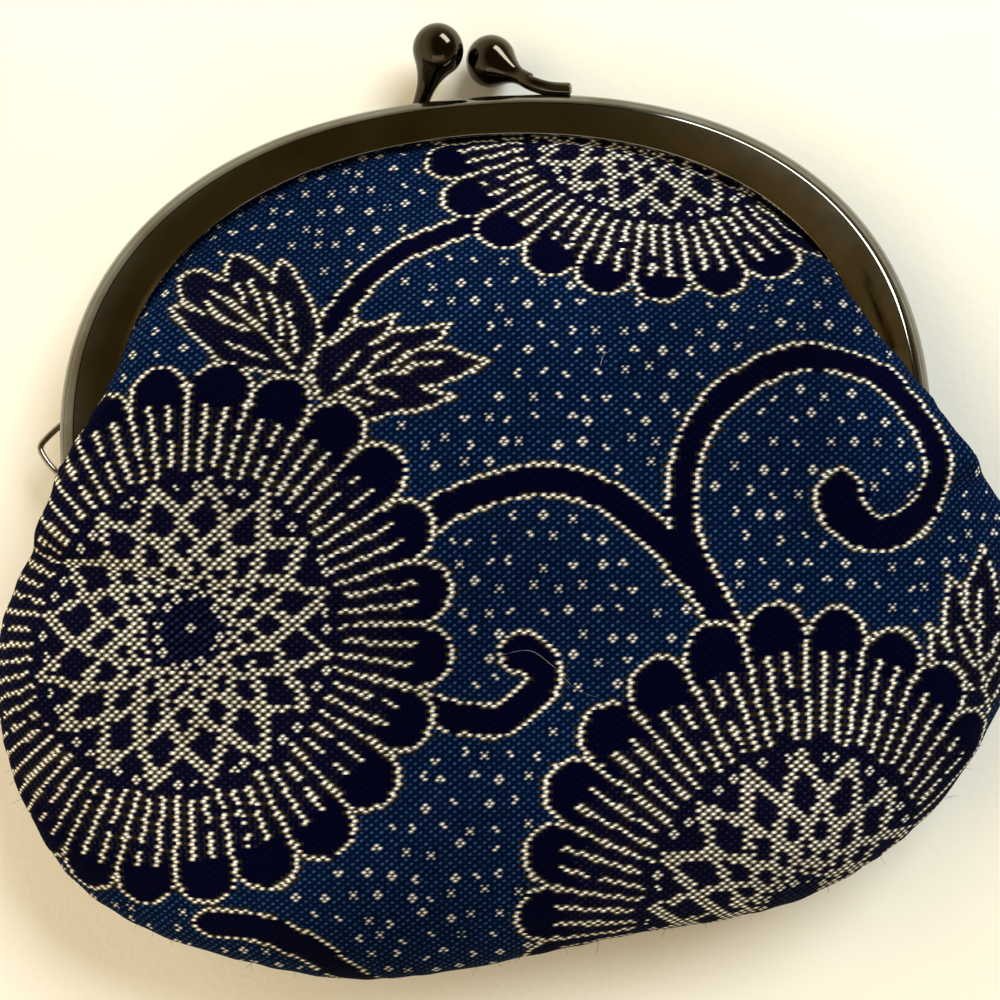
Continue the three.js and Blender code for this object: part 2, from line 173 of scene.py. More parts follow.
FRONT_BULGE = {
    "side": 1, "left": 17.0, "right": 18.0, "rise": 9.0, "reach": 1.8, "over_lip": 0.9, "height": 1.5}
BACK_BULGE = {
    "side": -1, "left": 6.0, "right": 6.0, "rise": 9.0, "reach": 1.8, "over_lip": 0.9, "height": 1.65}
CREASES = [
    {"angle": 0.2, "width": 0.09, "depth": 0.7, "from": 0.08, "to": 0.36},
    {"angle": -0.22, "width": 0.1, "depth": 0.6, "from": 0.05, "to": 0.28},
    {"angle": math.pi - 0.18, "width": 0.09, "depth": 0.6, "from": 0.08, "to": 0.34},
    {"angle": math.pi + 0.22, "width": 0.1, "depth": 0.6, "from": 0.05, "to": 0.28},
]
COLUMNS = 1440
ROWS = 260

# Looks of the cloth's surface that the solids leave out
SOFTENING = 14
SEAM_ROLL = 1.1
SEAM_ROLL_WALL = 0.15
PUCKER_PITCH = 5.2
PUCKER_WANDER = 1.6
SEAM_PUCKER = {"depth": 0.16, "reach": 3.5, "starts": 1.0}
LIP_PUCKER = {"depth": 0.1, "reach": 4.0, "middle": 2.0}
SWELL = {"count": 7, "height": 0.075, "shortest": 17.0, "longest": 38.0, "on_back": 0.15}
SWELL_STARTS = (3.0, 14.0)
# Painted shade: the cloth's colours darken towards each panel's rim, by the seam and inside the frame's
# channel
DARKEST_EDGE = 0.4
EDGE_SHADE = (0.3, 2.2)


# Settings


class PURSE_PG_cloth(bpy.types.PropertyGroup):
    """Weave, pattern and colours of the cloth"""
    pitch_across: bpy.props.FloatProperty(
        name="Pitch across", description="Width of one crossing of the weave",
        default=0.00053, min=0.0001, precision=6, subtype="DISTANCE", unit="LENGTH")
    pitch_down: bpy.props.FloatProperty(
        name="Pitch down", description="Height of one crossing of the weave",
        default=0.00044, min=0.0001, precision=6, subtype="DISTANCE", unit="LENGTH")
    lay: bpy.props.FloatProperty(
        name="Lay", description="Turn of the weave against the purse",
        default=math.radians(-4.56), subtype="ANGLE", unit="ROTATION")
    wall: bpy.props.FloatProperty(
        name="Wall", description="Thickness of the cloth with its lining",
        default=0.001, min=0.0002, precision=4, subtype="DISTANCE", unit="LENGTH")
    ground: bpy.props.FloatVectorProperty(
        name="Ground", description="Blue between the figures",
        default=(0.0, 0.0041, 0.022), size=3, min=0, max=1, subtype="COLOR")
    ground_point: bpy.props.FloatVectorProperty(
        name="Ground points", description="Lighter crossings of the blue ground",
        default=(0.02, 0.045, 0.105), size=3, min=0, max=1, subtype="COLOR")
    navy: bpy.props.FloatVectorProperty(
        name="Navy", description="Stems and petal tips",
        default=(0.0003, 0.0003, 0.0075), size=3, min=0, max=1, subtype="COLOR")
    petal: bpy.props.FloatVectorProperty(
        name="Petals", description="Dark violet between a petal's lines",
        default=(0.0014, 0.0012, 0.0085), size=3, min=0, max=1, subtype="COLOR")
    petal_point: bpy.props.FloatVectorProperty(
        name="Petal points", description="Lighter crossings of the petals",
        default=(0.009, 0.009, 0.027), size=3, min=0, max=1, subtype="COLOR")
    cream: bpy.props.FloatVectorProperty(
        name="Cream", description="Pale thread of the figures",
        default=(0.93, 0.88, 0.76), size=3, min=0, max=1, subtype="COLOR")
    shade: bpy.props.FloatVectorProperty(
        name="Shade", description="Brown black between pale thread points",
        default=(0.014, 0.0105, 0.005), size=3, min=0, max=1, subtype="COLOR")
    seed: bpy.props.IntProperty(
        name="Seed", description="Start of the random draws for slubs and skipped threads",
        default=11, min=0)


class PURSE_PG_clasp(bpy.types.PropertyGroup):
    """Section and finish of the clasp frame"""
    shoulder: bpy.props.FloatProperty(
        name="Shoulder", description="Width of the rounded shoulder outside the crease",
        default=0.0021, min=0.0001, precision=5, subtype="DISTANCE", unit="LENGTH")
    crease: bpy.props.FloatProperty(
        name="Crease", description="Depth of the crease between the shoulder and the band",
        default=0.00022, min=0, precision=5, subtype="DISTANCE", unit="LENGTH")
    crown: bpy.props.FloatProperty(
        name="Band swell", description="How far the front band swells in its middle",
        default=0.00004, min=0, precision=5, subtype="DISTANCE", unit="LENGTH")
    plate: bpy.props.FloatVectorProperty(
        name="Plate", description="Dark nickel plate",
        default=(0.19, 0.19, 0.165), size=3, min=0, max=1, subtype="COLOR")
    tarnish: bpy.props.FloatVectorProperty(
        name="Tarnish", description="Olive brown where the plate has dulled",
        default=(0.135, 0.122, 0.085), size=3, min=0, max=1, subtype="COLOR")
    knob: bpy.props.FloatVectorProperty(
        name="Knobs", description="Darker plate of the knobs",
        default=(0.062, 0.048, 0.032), size=3, min=0, max=1, subtype="COLOR")
    # Pale metal of rubbed edges, also used for the painted highlight on the left lip and the painted light on
    # the band's right side
    bare_metal_and_painted_light: bpy.props.FloatVectorProperty(
        name="Bare edge", description="Metal on cut and rubbed edges",
        default=(0.78, 0.72, 0.6), size=3, min=0, max=1, subtype="COLOR")
    rust: bpy.props.FloatVectorProperty(
        name="Rust", description="Brown streak on the right leg",
        default=(0.028, 0.012, 0.005), size=3, min=0, max=1, subtype="COLOR")


class PURSE_PG_stage(bpy.types.PropertyGroup):
    """Camera, floor and light"""
    camera_height: bpy.props.FloatProperty(
        name="Camera height", description="Height of the camera above the floor",
        default=0.1505, min=0.01, precision=4, subtype="DISTANCE", unit="LENGTH")
    camera_turn: bpy.props.FloatProperty(
        name="Camera turn", description="Turn of the picture against the purse",
        default=math.radians(-4.56), subtype="ANGLE", unit="ROTATION")
    lens: bpy.props.FloatProperty(
        name="Lens", description="Focal length of the camera",
        default=43.75, min=1, subtype="DISTANCE_CAMERA", unit="CAMERA")
    floor: bpy.props.FloatVectorProperty(
        name="Floor", description="Pale cream of the floor",
        default=(0.95, 0.91, 0.79), size=3, min=0, max=1, subtype="COLOR")
    window_power: bpy.props.FloatProperty(
        name="Window power", description="Soft cool light from the upper right",
        default=5.7, min=0, subtype="POWER", unit="POWER")
    lamp_power: bpy.props.FloatProperty(
        name="Lamp power", description="Soft warm light from the left",
        default=6.2, min=0, subtype="POWER", unit="POWER")
    fill_power: bpy.props.FloatProperty(
        name="Fill power", description="Soft light from below the picture",
        default=0.7, min=0, subtype="POWER", unit="POWER")


# Numbers


def ramp(value, start, end):
    """Weight that goes smoothly from 0 at start to 1 at end, in either direction"""
    share = np.clip((value - start) / (end - start), 0.0, 1.0)
    return share * share * (3.0 - 2.0 * share)


def mix(first, second, share):
    return first + (second - first) * share


def signed_power(value, power):
    return np.sign(value) * np.abs(value) ** power


def unit(vectors):
    return vectors / np.maximum(np.linalg.norm(vectors, axis=-1, keepdims=True), 1e-12)


def smooth_route(points, steps):
    """Points along a smooth curve through the given ones, steps to each stretch"""
    points = np.asarray(points, float)
    padded = np.vstack([2 * points[0] - points[1], points, 2 * points[-1] - points[-2]])
    share = np.linspace(0.0, 1.0, steps, endpoint=False)[:, None]
    stretches = []
    for before, here, there, after in zip(padded, padded[1:], padded[2:], padded[3:]):
        stretches.append(0.5 * (
            2 * here + (there - before) * share
            + (2 * before - 5 * here + 4 * there - after) * share ** 2
            + (3 * here - before - 3 * there + after) * share ** 3))
    return np.vstack(stretches + [points[-1:]])


def turned_by(angle):
    """Matrix that turns flat points, given as rows, by an angle"""
    return np.array([[math.cos(angle), math.sin(angle)], [-math.sin(angle), math.cos(angle)]])


def even_route(points, count):
    """The same line, as count points evenly spaced"""
    along = np.concatenate([[0.0], np.cumsum(np.linalg.norm(np.diff(points, axis=0), axis=1))])
    at = np.linspace(0.0, along[-1], count)
    return np.stack([np.interp(at, along, points[:, k]) for k in range(points.shape[1])], axis=1)


# Arch and seam


def arch_at(angle):
    """Outer line of the frame's arch: places, inward directions and band widths"""
    turn = np.clip(angle, 0.0, math.pi)
    on_leg = (angle < 0) | (angle > math.pi)
    below = np.where(on_leg, np.minimum(angle, math.pi - angle) * FRAME_RISE, 0.0)
    x = FRAME_HALF_WIDTH * signed_power(np.cos(turn), 2 / ARCH_EXPONENT)
    y = FRAME_RISE * np.abs(np.sin(turn)) ** (2 / ARCH_EXPONENT)
    slope_x = signed_power(x / FRAME_HALF_WIDTH, ARCH_EXPONENT - 1) / FRAME_HALF_WIDTH
    slope_y = (y / FRAME_RISE) ** (ARCH_EXPONENT - 1) / FRAME_RISE
    inward = unit(-np.stack([slope_x, slope_y], axis=-1))
    band = mix(BAND_CROWN, BAND_SIDE, np.abs(np.cos(turn)))
    return np.stack([x, y + below], axis=-1), inward, band


def even_angles(count):
    """Angles that space points evenly along the arch, from foot to foot"""
    leg = LEG_DROP / FRAME_RISE
    dense = np.concatenate([
        np.linspace(-leg, 0.0, 40, endpoint=False),
        np.linspace(0.0, math.pi, 6000),
        np.linspace(math.pi, math.pi + leg, 41)[1:]])
    places = arch_at(dense)[0]
    along = np.concatenate([[0.0], np.cumsum(np.linalg.norm(np.diff(places, axis=0), axis=1))])
    return np.interp(np.linspace(0.0, along[-1], count), along, dense)


def seam_at(share):
    """Side seam from the left hinge round the bottom to the right hinge"""
    line = even_route(smooth_route(SEAM_ROUTE, 40), 2001)
    at = share * (len(line) - 1)
    return np.stack([np.interp(at, np.arange(len(line)), line[:, k]) for k in (0, 1)], axis=-1)


def frame_height(y, z):
    """Height of a point of the leaning frame, z being measured from its middle plane"""
    return HINGE_LIFT - y * math.sin(LEAN) + z * math.cos(LEAN)


def from_frame(points):
    """Points of the upright frame, leaned back to where it lies"""
    x, y, z = np.moveaxis(np.asarray(points, float), -1, 0)
    return np.stack([x, y * math.cos(LEAN) + z * math.sin(LEAN), frame_height(y, z)], axis=-1)


# Cloth surface


def panel_rim(angle, bulge):
    """Edge, lip and bulge of a panel at each angle, with the weights that shape its column"""
    side = bulge["side"]
    place, inward, band = arch_at(np.clip(angle, 0.0, math.pi))
    y = place[:, 1]
    start_y = np.where(place[:, 0] < 0, bulge["left"], bulge["right"])
    lip = band + LIP_CLEARANCE
    inset = {
        "edge": mix(CHANNEL_INSET, lip, ramp(y, *LEAVE_CHANNEL_Y)),
        "lip": lip,
        "bulge": mix(lip, bulge["reach"], np.clip(1.0 - y / start_y, 0.0, 1.0) ** 2),
    }
    seam = seam_at(np.clip(angle / math.pi - 1.0, 0.0, 1.0))
    sewn = ramp(seam[:, 1], *SEAM_STARTS_Y)
    inside_x = np.sign(seam[:, 0]) * (FRAME_HALF_WIDTH - BAND_SIDE - LIP_CLEARANCE)
    free_edge = np.stack([inside_x, seam[:, 1]], axis=-1)
    seam_edge = mix(free_edge, seam, sewn[:, None])
    by_seam = {"edge": seam_edge, "lip": seam_edge, "bulge": seam}
    arch = angle <= math.pi
    rim = {
        name: np.where(arch[:, None], place + inward * inset[name][:, None], by_seam[name])
        for name in inset
    }
    rim["y"] = np.where(arch, y, seam[:, 1])
    rim["sewn"] = np.where(arch, 0.0, sewn)
    rim["over_leg"] = np.where(arch, ramp(y, start_y + bulge["rise"], start_y), 1.0)
    rim["full"] = np.where(arch, ramp(y, *EASY_RISE_Y), 1.0)
    for name in ("edge", "lip"):
        channel = frame_height(rim[name][:, 1], side * CHANNEL_MIDDLE)
        rim[f"{name}_height"] = mix(channel, SEAM_HEIGHT + side * SEAM_GAP / 2, rim["sewn"])
    return rim


def column_starts(angle, bulge):
    """Middle of the wall from a panel's edge, past the lip and over the leg, to its bulge"""
    rim = panel_rim(angle, bulge)
    side = bulge["side"]
    face = frame_height(rim["y"], side * OUTER_FACE)

    def height(in_channel, on_leg, at_seam):
        loose = mix(rim["lip_height"] + side * in_channel, face + side * on_leg, rim["over_leg"])
        return mix(loose, rim["lip_height"] + side * at_seam, rim["sewn"])

    beside = rim["lip_height"] + side * mix(CHANNEL_RISE / 9, SEAM_UPRIGHT / 3, rim["sewn"])
    rows = [
        np.column_stack([rim["edge"], rim["edge_height"]]),
        np.column_stack([rim["lip"], beside]),
        np.column_stack([rim["lip"], height(CHANNEL_RISE / 2, bulge["over_lip"], SEAM_UPRIGHT * 2 / 3)]),
        np.column_stack([rim["bulge"], height(CHANNEL_RISE, bulge["height"], SEAM_UPRIGHT)]),
    ]
    return rows, rim


def crease_depth(angle, share):
    """How far the creases at the hinges pull the front panel in"""
    depth = np.zeros_like(angle)
    for crease in CREASES:
        turn = np.arctan2(np.sin(angle - crease["angle"]), np.cos(angle - crease["angle"]))
        across = np.exp(-((turn / crease["width"]) ** 2))
        along = ramp(share, 0.0, crease["from"]) * ramp(share, crease["to"], crease["from"])
        depth = depth + crease["depth"] * across * along
    return depth


def front_rows(angle):
    rows, rim = column_starts(angle, FRONT_BULGE)
    start = rows[-1]
    top = np.array([0.0, MIDDLE_Y, DOME_TOP])
    for share in np.linspace(0.0, 1.0, 121)[1:] ** 1.7:
        point = mix(start, top, share)
        easy = 1.0 - (1.0 - share) ** DOME_SLOPE
        rounded = (1.0 - (1.0 - share) ** DOME_FULLNESS) ** (1.0 / DOME_FULLNESS)
        full = mix(rim["full"], 1.0, ramp(share, 0.0, EVEN_SHARE))
        rise = mix(easy, rounded, full)
        point[:, 2] = mix(start[:, 2], DOME_TOP, rise) - crease_depth(angle, share)
        rows.append(point)
    return rows, rim


def back_rows(angle):
    rows, rim = column_starts(angle, BACK_BULGE)
    start = rows[-1]
    rest = np.array([0.0, MIDDLE_Y, CLOTH / 2])
    reach = np.hypot(start[:, 0] - rest[0], start[:, 1] - rest[1])
    curl = BACK_ROUNDNESS * (start[:, 2] - rest[2])
    for share in np.linspace(0.0, 1.0, 41)[1:] ** 1.7:
        point = mix(start, rest, (curl * share / reach)[:, None])
        point[:, 2] = mix(start[:, 2], rest[2], math.sqrt(1.0 - (1.0 - share) ** 2))
        rows.append(point)
    flat = rows[-1]
    for share in np.linspace(0.0, 1.0, 41)[1:]:
        rows.append(mix(flat, rest, share))
    return rows, rim


def along_columns(rows):
    """Rows again, evenly spaced along each column from the middle out, with each column's length"""
    stack = np.stack(rows[::-1], axis=1)
    steps = np.linalg.norm(np.diff(stack, axis=1), axis=2)
    along = np.concatenate([np.zeros((len(stack), 1)), np.cumsum(steps, axis=1)], axis=1)
    even = np.empty((len(stack), ROWS, 3))
    for k, (places, lengths) in enumerate(zip(stack, along)):
        at = np.linspace(0.0, lengths[-1], ROWS)
        for axis in range(3):
            even[k, :, axis] = np.interp(at, lengths, places[:, axis])
    return even, along[:, -1]


def softened(even, passes):
    """Rounds the corners of the columns a little, keeping both their ends"""
    for _ in range(passes):
        middle = (even[:, :-2] + 2 * even[:, 1:-1] + even[:, 2:]) / 4
        even = np.concatenate([even[:, :1], middle, even[:, -1:]], axis=1)
    return even


class ClothSurface:
    """Outer face of one panel, found from a place on the flat cloth"""

    def __init__(self, rows_at, side, seed):
        angle = np.linspace(0.0, 2 * math.pi, COLUMNS, endpoint=False)
        rows, rim = rows_at(angle)
        bearing = np.unwrap(np.arctan2(rim["bulge"][:, 1] - MIDDLE_Y, rim["bulge"][:, 0]))
        even, length = along_columns(rows)
        even = self.offset(softened(even, SOFTENING), side, rim, length, seed)
        self.places = np.concatenate([even, even[:1]])
        self.lengths = np.append(length, length[0])
        self.bearings = np.append(bearing, bearing[0] + 2 * math.pi)

    def offset(self, even, side, rim, length, seed):
        """Moves the middle of the wall out to its face, with puckers at the seam and the frame"""
        around = np.roll(even, -1, axis=0) - np.roll(even, 1, axis=0)
        outward = np.gradient(even, axis=1)
        normal = unit(np.cross(outward, around))
        normal[:, 0] = [0.0, 0.0, 1.0]
        share = np.linspace(0.0, 1.0, ROWS)[None, :]
        from_edge = (1.0 - share) * length[:, None]
        sewn = rim["sewn"][:, None]
        roll = np.sqrt(1.0 - (1.0 - np.clip(from_edge / SEAM_ROLL, 0.0, 1.0)) ** 2)
        wall = CLOTH / 2 * mix(1.0, mix(SEAM_ROLL_WALL, 1.0, roll), sewn)
        walk = np.cumsum(np.linalg.norm(np.diff(rim["bulge"], axis=0, append=rim["bulge"][:1]), axis=1))
        draws = np.random.default_rng(seed)
        wander = sum(
            draws.uniform(0.4, 1.0) * np.sin(2 * math.pi * walk / walk[-1] * waves + draws.uniform(0, 6.3))
            for waves in (7, 11, 17, 23))
        pucker = np.sin(2 * math.pi * walk / PUCKER_PITCH + PUCKER_WANDER * wander)[:, None]
        at_seam = SEAM_PUCKER["depth"] * sewn * np.exp(-from_edge / SEAM_PUCKER["reach"])
        at_seam = at_seam * ramp(from_edge, 0.0, SEAM_PUCKER["starts"])
        from_lip = from_edge - (BAND_CROWN + LIP_CLEARANCE) - LIP_PUCKER["middle"]
        at_lip = LIP_PUCKER["depth"] * (1.0 - sewn) * np.exp(-((from_lip / LIP_PUCKER["reach"]) ** 2))
        swell = np.zeros(even.shape[:2])
        for _ in range(SWELL["count"]):
            direction = draws.uniform(0, 2 * math.pi)
            wave = 2 * math.pi / draws.uniform(SWELL["shortest"], SWELL["longest"])
            phase = draws.uniform(0, 2 * math.pi)
            walked = even[..., 0] * math.cos(direction) + even[..., 1] * math.sin(direction)
            swell += SWELL["height"] * np.sin(walked * wave + phase)
        swell *= ramp(from_edge, *SWELL_STARTS) * (1.0 if side > 0 else SWELL["on_back"])
        out = wall + pucker * (at_seam + at_lip) + swell
        return even + side * normal * out[..., None]

    def place(self, u, v, lay):
        """Place in the purse of each point of the flat cloth, and how far inside the panel it is"""
        bearing = np.arctan2(v, u) + lay
        bearing = self.bearings[0] + np.mod(bearing - self.bearings[0], 2 * math.pi)
        column = np.interp(bearing, self.bearings, np.arange(len(self.bearings)))
        first = np.clip(column.astype(int), 0, len(self.bearings) - 2)
        share = (column - first)[..., None]
        length = mix(self.lengths[first], self.lengths[first + 1], share[..., 0])
        out = np.hypot(u, v)
        inside = length - out
        row = np.clip(out / length, 0.0, 1.0) * (ROWS - 1)
        low = np.clip(row.astype(int), 0, ROWS - 2)
        part = (row - low)[..., None]
        here = mix(self.places[first, low], self.places[first, low + 1], part)
        there = mix(self.places[first + 1, low], self.places[first + 1, low + 1], part)
        return mix(here, there, share), inside


# Pattern of the cloth

# Fills of the figures, kinds of small dots, and the thread points of each fill
GROUND, PETAL, NAVY, DISC = 0, 1, 2, 3
RING, BIT, CROSS = 0, 1, 2
POINT_SIZES = (1.0, 0.92, 0.85, 1.3)
DIM_POINT = {"tilt": 27.0, "length": 0.19, "width": 0.13}
PALE_POINT = {"tilt": 16.0, "length": 0.18, "width": 0.122}
POINT_SIZE_SPREAD = (0.9, 1.1)
POINT_SHIFT = 0.05
SKIPPED_POINTS = 0.015
THREAD_TONES = (0.55, 1.35)
PALE_TONES = (0.8, 1.1)
SMALL_POINT_TONE = 0.45

# Figures on the flat cloth: sizes in millimetres, weights of lines in half lines of thread points
PETALS = 24
CAP_PLACE = 26.3
CAP_RADIUS = 2.9
TIP_STARTS = 24.6
TIP_HOLLOW = 1.4
SCALLOP_OVERLAP = 0.9
EDGE_OVERLAP = 0.6
LINES_START = 17.2
LINES_END = 25.2
LINES_APART = 1 / 6
BREAK_HALF = 0.45
PETAL_RIM = 0.86
LEAF_LINE = 0.95
STEM_LINE = 1.6
THIN_LINE = 0.45
DRAWN_IN = 0.65
STAR_RADIUS = 16.0
STAR_TIP = 1.1
STAR_POINTS = 16
NET_SHRINK = 0.755
NET_LINE = 1.2
NET_FULL_AT = 10.5
NET_THINNEST = 0.72
DISC_RADIUS = 4.5
DISC_RING = 3.75
DISC_DOTS = 14
VALLEY_DOTS = 15.9
VALLEY_SPREAD = 0.057
DOT_ACROSS = 2.95
DOT_DOWN = 2.6
DOT_SHIFT = 0.55
DOT_KINDS = {RING: 0.3, BIT: 0.42, CROSS: 0.28}
DOT_SIZE = 0.82
DOT_ARM_SIZE = 0.58
DOT_DRAWN_IN = (0.36, 0.2)
MOST_DRAWN = 0.4

# Flowers: place, turns of petals and star in degrees, size, squeeze along an axis and the middle's slip
FRONT_FLOWERS = [
    {"place": (-36.4, -1.1), "turn": 8.8, "star_turn": 14.0,
     "size": 1.018, "squeeze": 0.95, "axis": 135, "slip": (1.4, 1.3)},
    {"place": (29.9, -29.2), "turn": 4.2, "star_turn": 0.6,
     "size": 1.03, "squeeze": 0.951, "axis": 170, "slip": (3.4, -3.8)},
    {"place": (18.0, 61.5), "turn": 14.1, "star_turn": 3.0, "size": 0.907, "squeeze": 0.935, "axis": 98},
]
BACK_FLOWERS = [
    {"place": (43.0, 12.0), "turn": 4.0, "star_turn": 9.0},
    {"place": (-24.0, 37.0), "turn": 8.0, "star_turn": 2.0},
    {"place": (-10.0, -52.0), "turn": 1.0, "star_turn": 14.0},
]

# Leaves from their base, first the stretches of the outline and then the veins
ROUND_LEAF = {
    "lobes": [
        [(0.0, 0.0), (-3.9, 0.6), (-8.9, 1.3), (-11.1, 3.3), (-14.0, 6.0), (-16.4, 8.5)],
        [(-16.4, 8.5), (-14.5, 8.9), (-12.0, 7.8), (-14.6, 9.2), (-15.9, 12.3), (-15.3, 13.5),
         (-13.1, 13.5), (-10.0, 12.0)],
        [(-10.0, 12.0), (-10.1, 14.6), (-9.4, 15.5), (-7.5, 14.9), (-5.5, 13.2), (-4.3, 11.6)],
        [(-4.3, 11.6), (-4.2, 13.2), (-3.6, 14.4), (-2.2, 13.4), (-0.7, 11.0), (0.6, 8.5),
         (1.5, 6.1), (1.6, 4.0), (0.0, 0.0)],
    ],
    "veins": [
        [(-11.8, 10.7), (-8.3, 8.6), (-5.2, 5.8), (-2.7, 3.1), (-1.0, 1.0)],
        [(-12.0, 9.3), (-10.2, 7.3), (-6.7, 5.7)],
        [(-8.8, 4.1), (-6.1, 2.9), (-4.1, 2.2)],
        [(-8.7, 11.5), (-7.4, 9.4)],
        [(-7.0, 11.7), (-5.9, 9.6), (-4.7, 7.1)],
        [(-4.5, 10.0), (-3.4, 7.9), (-2.6, 4.7)],
        [(-2.3, 8.7), (-1.4, 5.7), (-0.8, 3.1)],
    ],
}
POINTED_LEAF = {
    "lobes": [
        [(0.0, 0.0), (0.7, 3.2), (3.8, 4.9), (4.6, 7.0)],
        [(4.6, 7.0), (5.0, 6.0), (7.3, 6.4), (9.2, 7.2)],
        [(9.2, 7.2), (8.6, 5.6), (6.8, 3.8)],
        [(6.8, 3.8), (9.3, 5.3), (12.2, 5.5), (15.3, 5.8)],
        [(15.3, 5.8), (14.3, 4.2), (12.2, 3.2), (9.5, 1.4)],
        [(9.5, 1.4), (11.1, 2.8), (14.6, 3.2), (17.4, 2.2), (19.5, 1.5)],
        [(19.5, 1.5), (17.4, 0.3), (14.7, -0.9), (12.4, -1.4)],
        [(12.4, -1.4), (15.6, -2.4)],
        [(15.6, -2.4), (12.4, -3.8), (8.9, -4.2), (6.6, -5.1)],
        [(6.6, -5.1), (2.1, -3.9), (0.0, 0.0)],
    ],
    "veins": [
        [(10.0, 0.3), (11.8, 1.3), (14.4, 1.4)],
        [(2.6, -0.3), (4.5, 1.9), (5.1, 2.6)],
        [(5.8, 0.4), (7.5, 2.3), (9.6, 3.4)],
        [(0.6, -3.6), (3.0, -2.0), (6.0, -0.4), (9.5, 0.8)],
        [(6.2, -0.1), (7.2, -1.6), (9.6, -2.1)],
        [(3.4, -2.0), (7.0, -3.2)],
    ],
}

# Where the leaves lie: place, turn in degrees and size
FRONT_LEAVES = [
    (ROUND_LEAF, (-23.1, 27.7), 0, 1.0),
    (POINTED_LEAF, (-22.1, 27.7), 0, 1.0),
    (POINTED_LEAF, (51.0, -9.5), 80, 0.95),
]
BACK_LEAVES = [
    (POINTED_LEAF, (30.0, -20.0), 200, 1.0),
    (ROUND_LEAF, (31.0, -20.0), 150, 1.0),
]

# Stems of the front: u, v and half width of the navy band
UPPER_STEM = [
    (-23.0, 30.0, 0.9), (-21.9, 31.7, 1.0), (-19.9, 34.5, 1.05), (-17.7, 37.9, 1.05),
    (-15.1, 40.9, 1.05), (-12.0, 43.1, 1.05), (-7.9, 44.9, 1.05), (-4.2, 46.3, 1.05),
]
BRANCH = [
    (-8.7, 12.0, 1.3), (-6.6, 13.6, 1.3), (-1.2, 15.6, 1.3), (4.1, 16.3, 1.3), (9.5, 14.9, 1.3),
    (14.9, 11.1, 1.35), (19.2, 6.7, 1.5), (21.9, 2.8, 1.4), (24.1, -1.0, 1.2),
]
GREAT_SCROLL = [
    (22.0, 2.8, 1.3), (19.5, 7.7, 1.3), (18.5, 11.4, 1.2), (18.4, 15.1, 1.15), (18.7, 17.8, 1.15),
    (20.0, 21.3, 1.15), (22.2, 24.5, 1.15), (25.4, 27.0, 1.15), (29.2, 29.1, 1.15),
    (33.2, 29.9, 1.15), (37.8, 29.1, 1.15), (41.6, 27.5, 1.15), (44.3, 24.5, 1.15),
    (46.3, 21.5, 1.2), (47.2, 18.2, 1.25), (46.6, 14.8, 1.3), (44.4, 11.9, 1.4), (41.0, 10.5, 1.55),
    (38.1, 11.0, 1.8), (36.2, 12.8, 2.1), (35.5, 14.2, 2.2), (35.7, 15.2, 1.9),
]
SMALL_SCROLL = [
    (-10.2, -8.1, 1.3), (-8.4, -8.5, 1.3), (-6.2, -9.2, 1.35), (-3.9, -9.5, 1.4), (-1.9, -9.6, 1.4),
    (0.0, -9.0, 1.35), (1.7, -7.5, 1.35), (3.0, -6.1, 1.4), (3.4, -4.7, 1.5), (3.0, -3.1, 1.6),
    (2.0, -2.4, 1.8), (1.0, -2.2, 1.9),
]
LOWER_STEM = [
    (-33.8, -33.2, 1.5), (-29.6, -33.2, 1.5), (-26.3, -34.0, 1.6), (-22.8, -35.9, 1.7), (-19.8, -38.8, 1.7),
    (-17.5, -42.0, 1.7),
]

# Loose fibres: short ones along the seam, and longer ones on the front, as u and v
SEAM_FIBRES = 70
SEAM_BEARINGS = (186, 354)
FIBRE_RADIUS = 0.028
FIBRE_LIFT = (0.05, 0.25)
LONG_FIBRES = [
    [(-1.2, -2.5), (2.0, -2.0), (4.8, -3.9)],
    [(5.5, -4.8), (7.1, -6.2), (9.4, -7.1)],
    [(38.9, -20.0), (39.8, -19.3), (40.6, -18.8)],
    [(9.7, 28.8), (10.1, 29.9), (11.0, 30.5)],
]


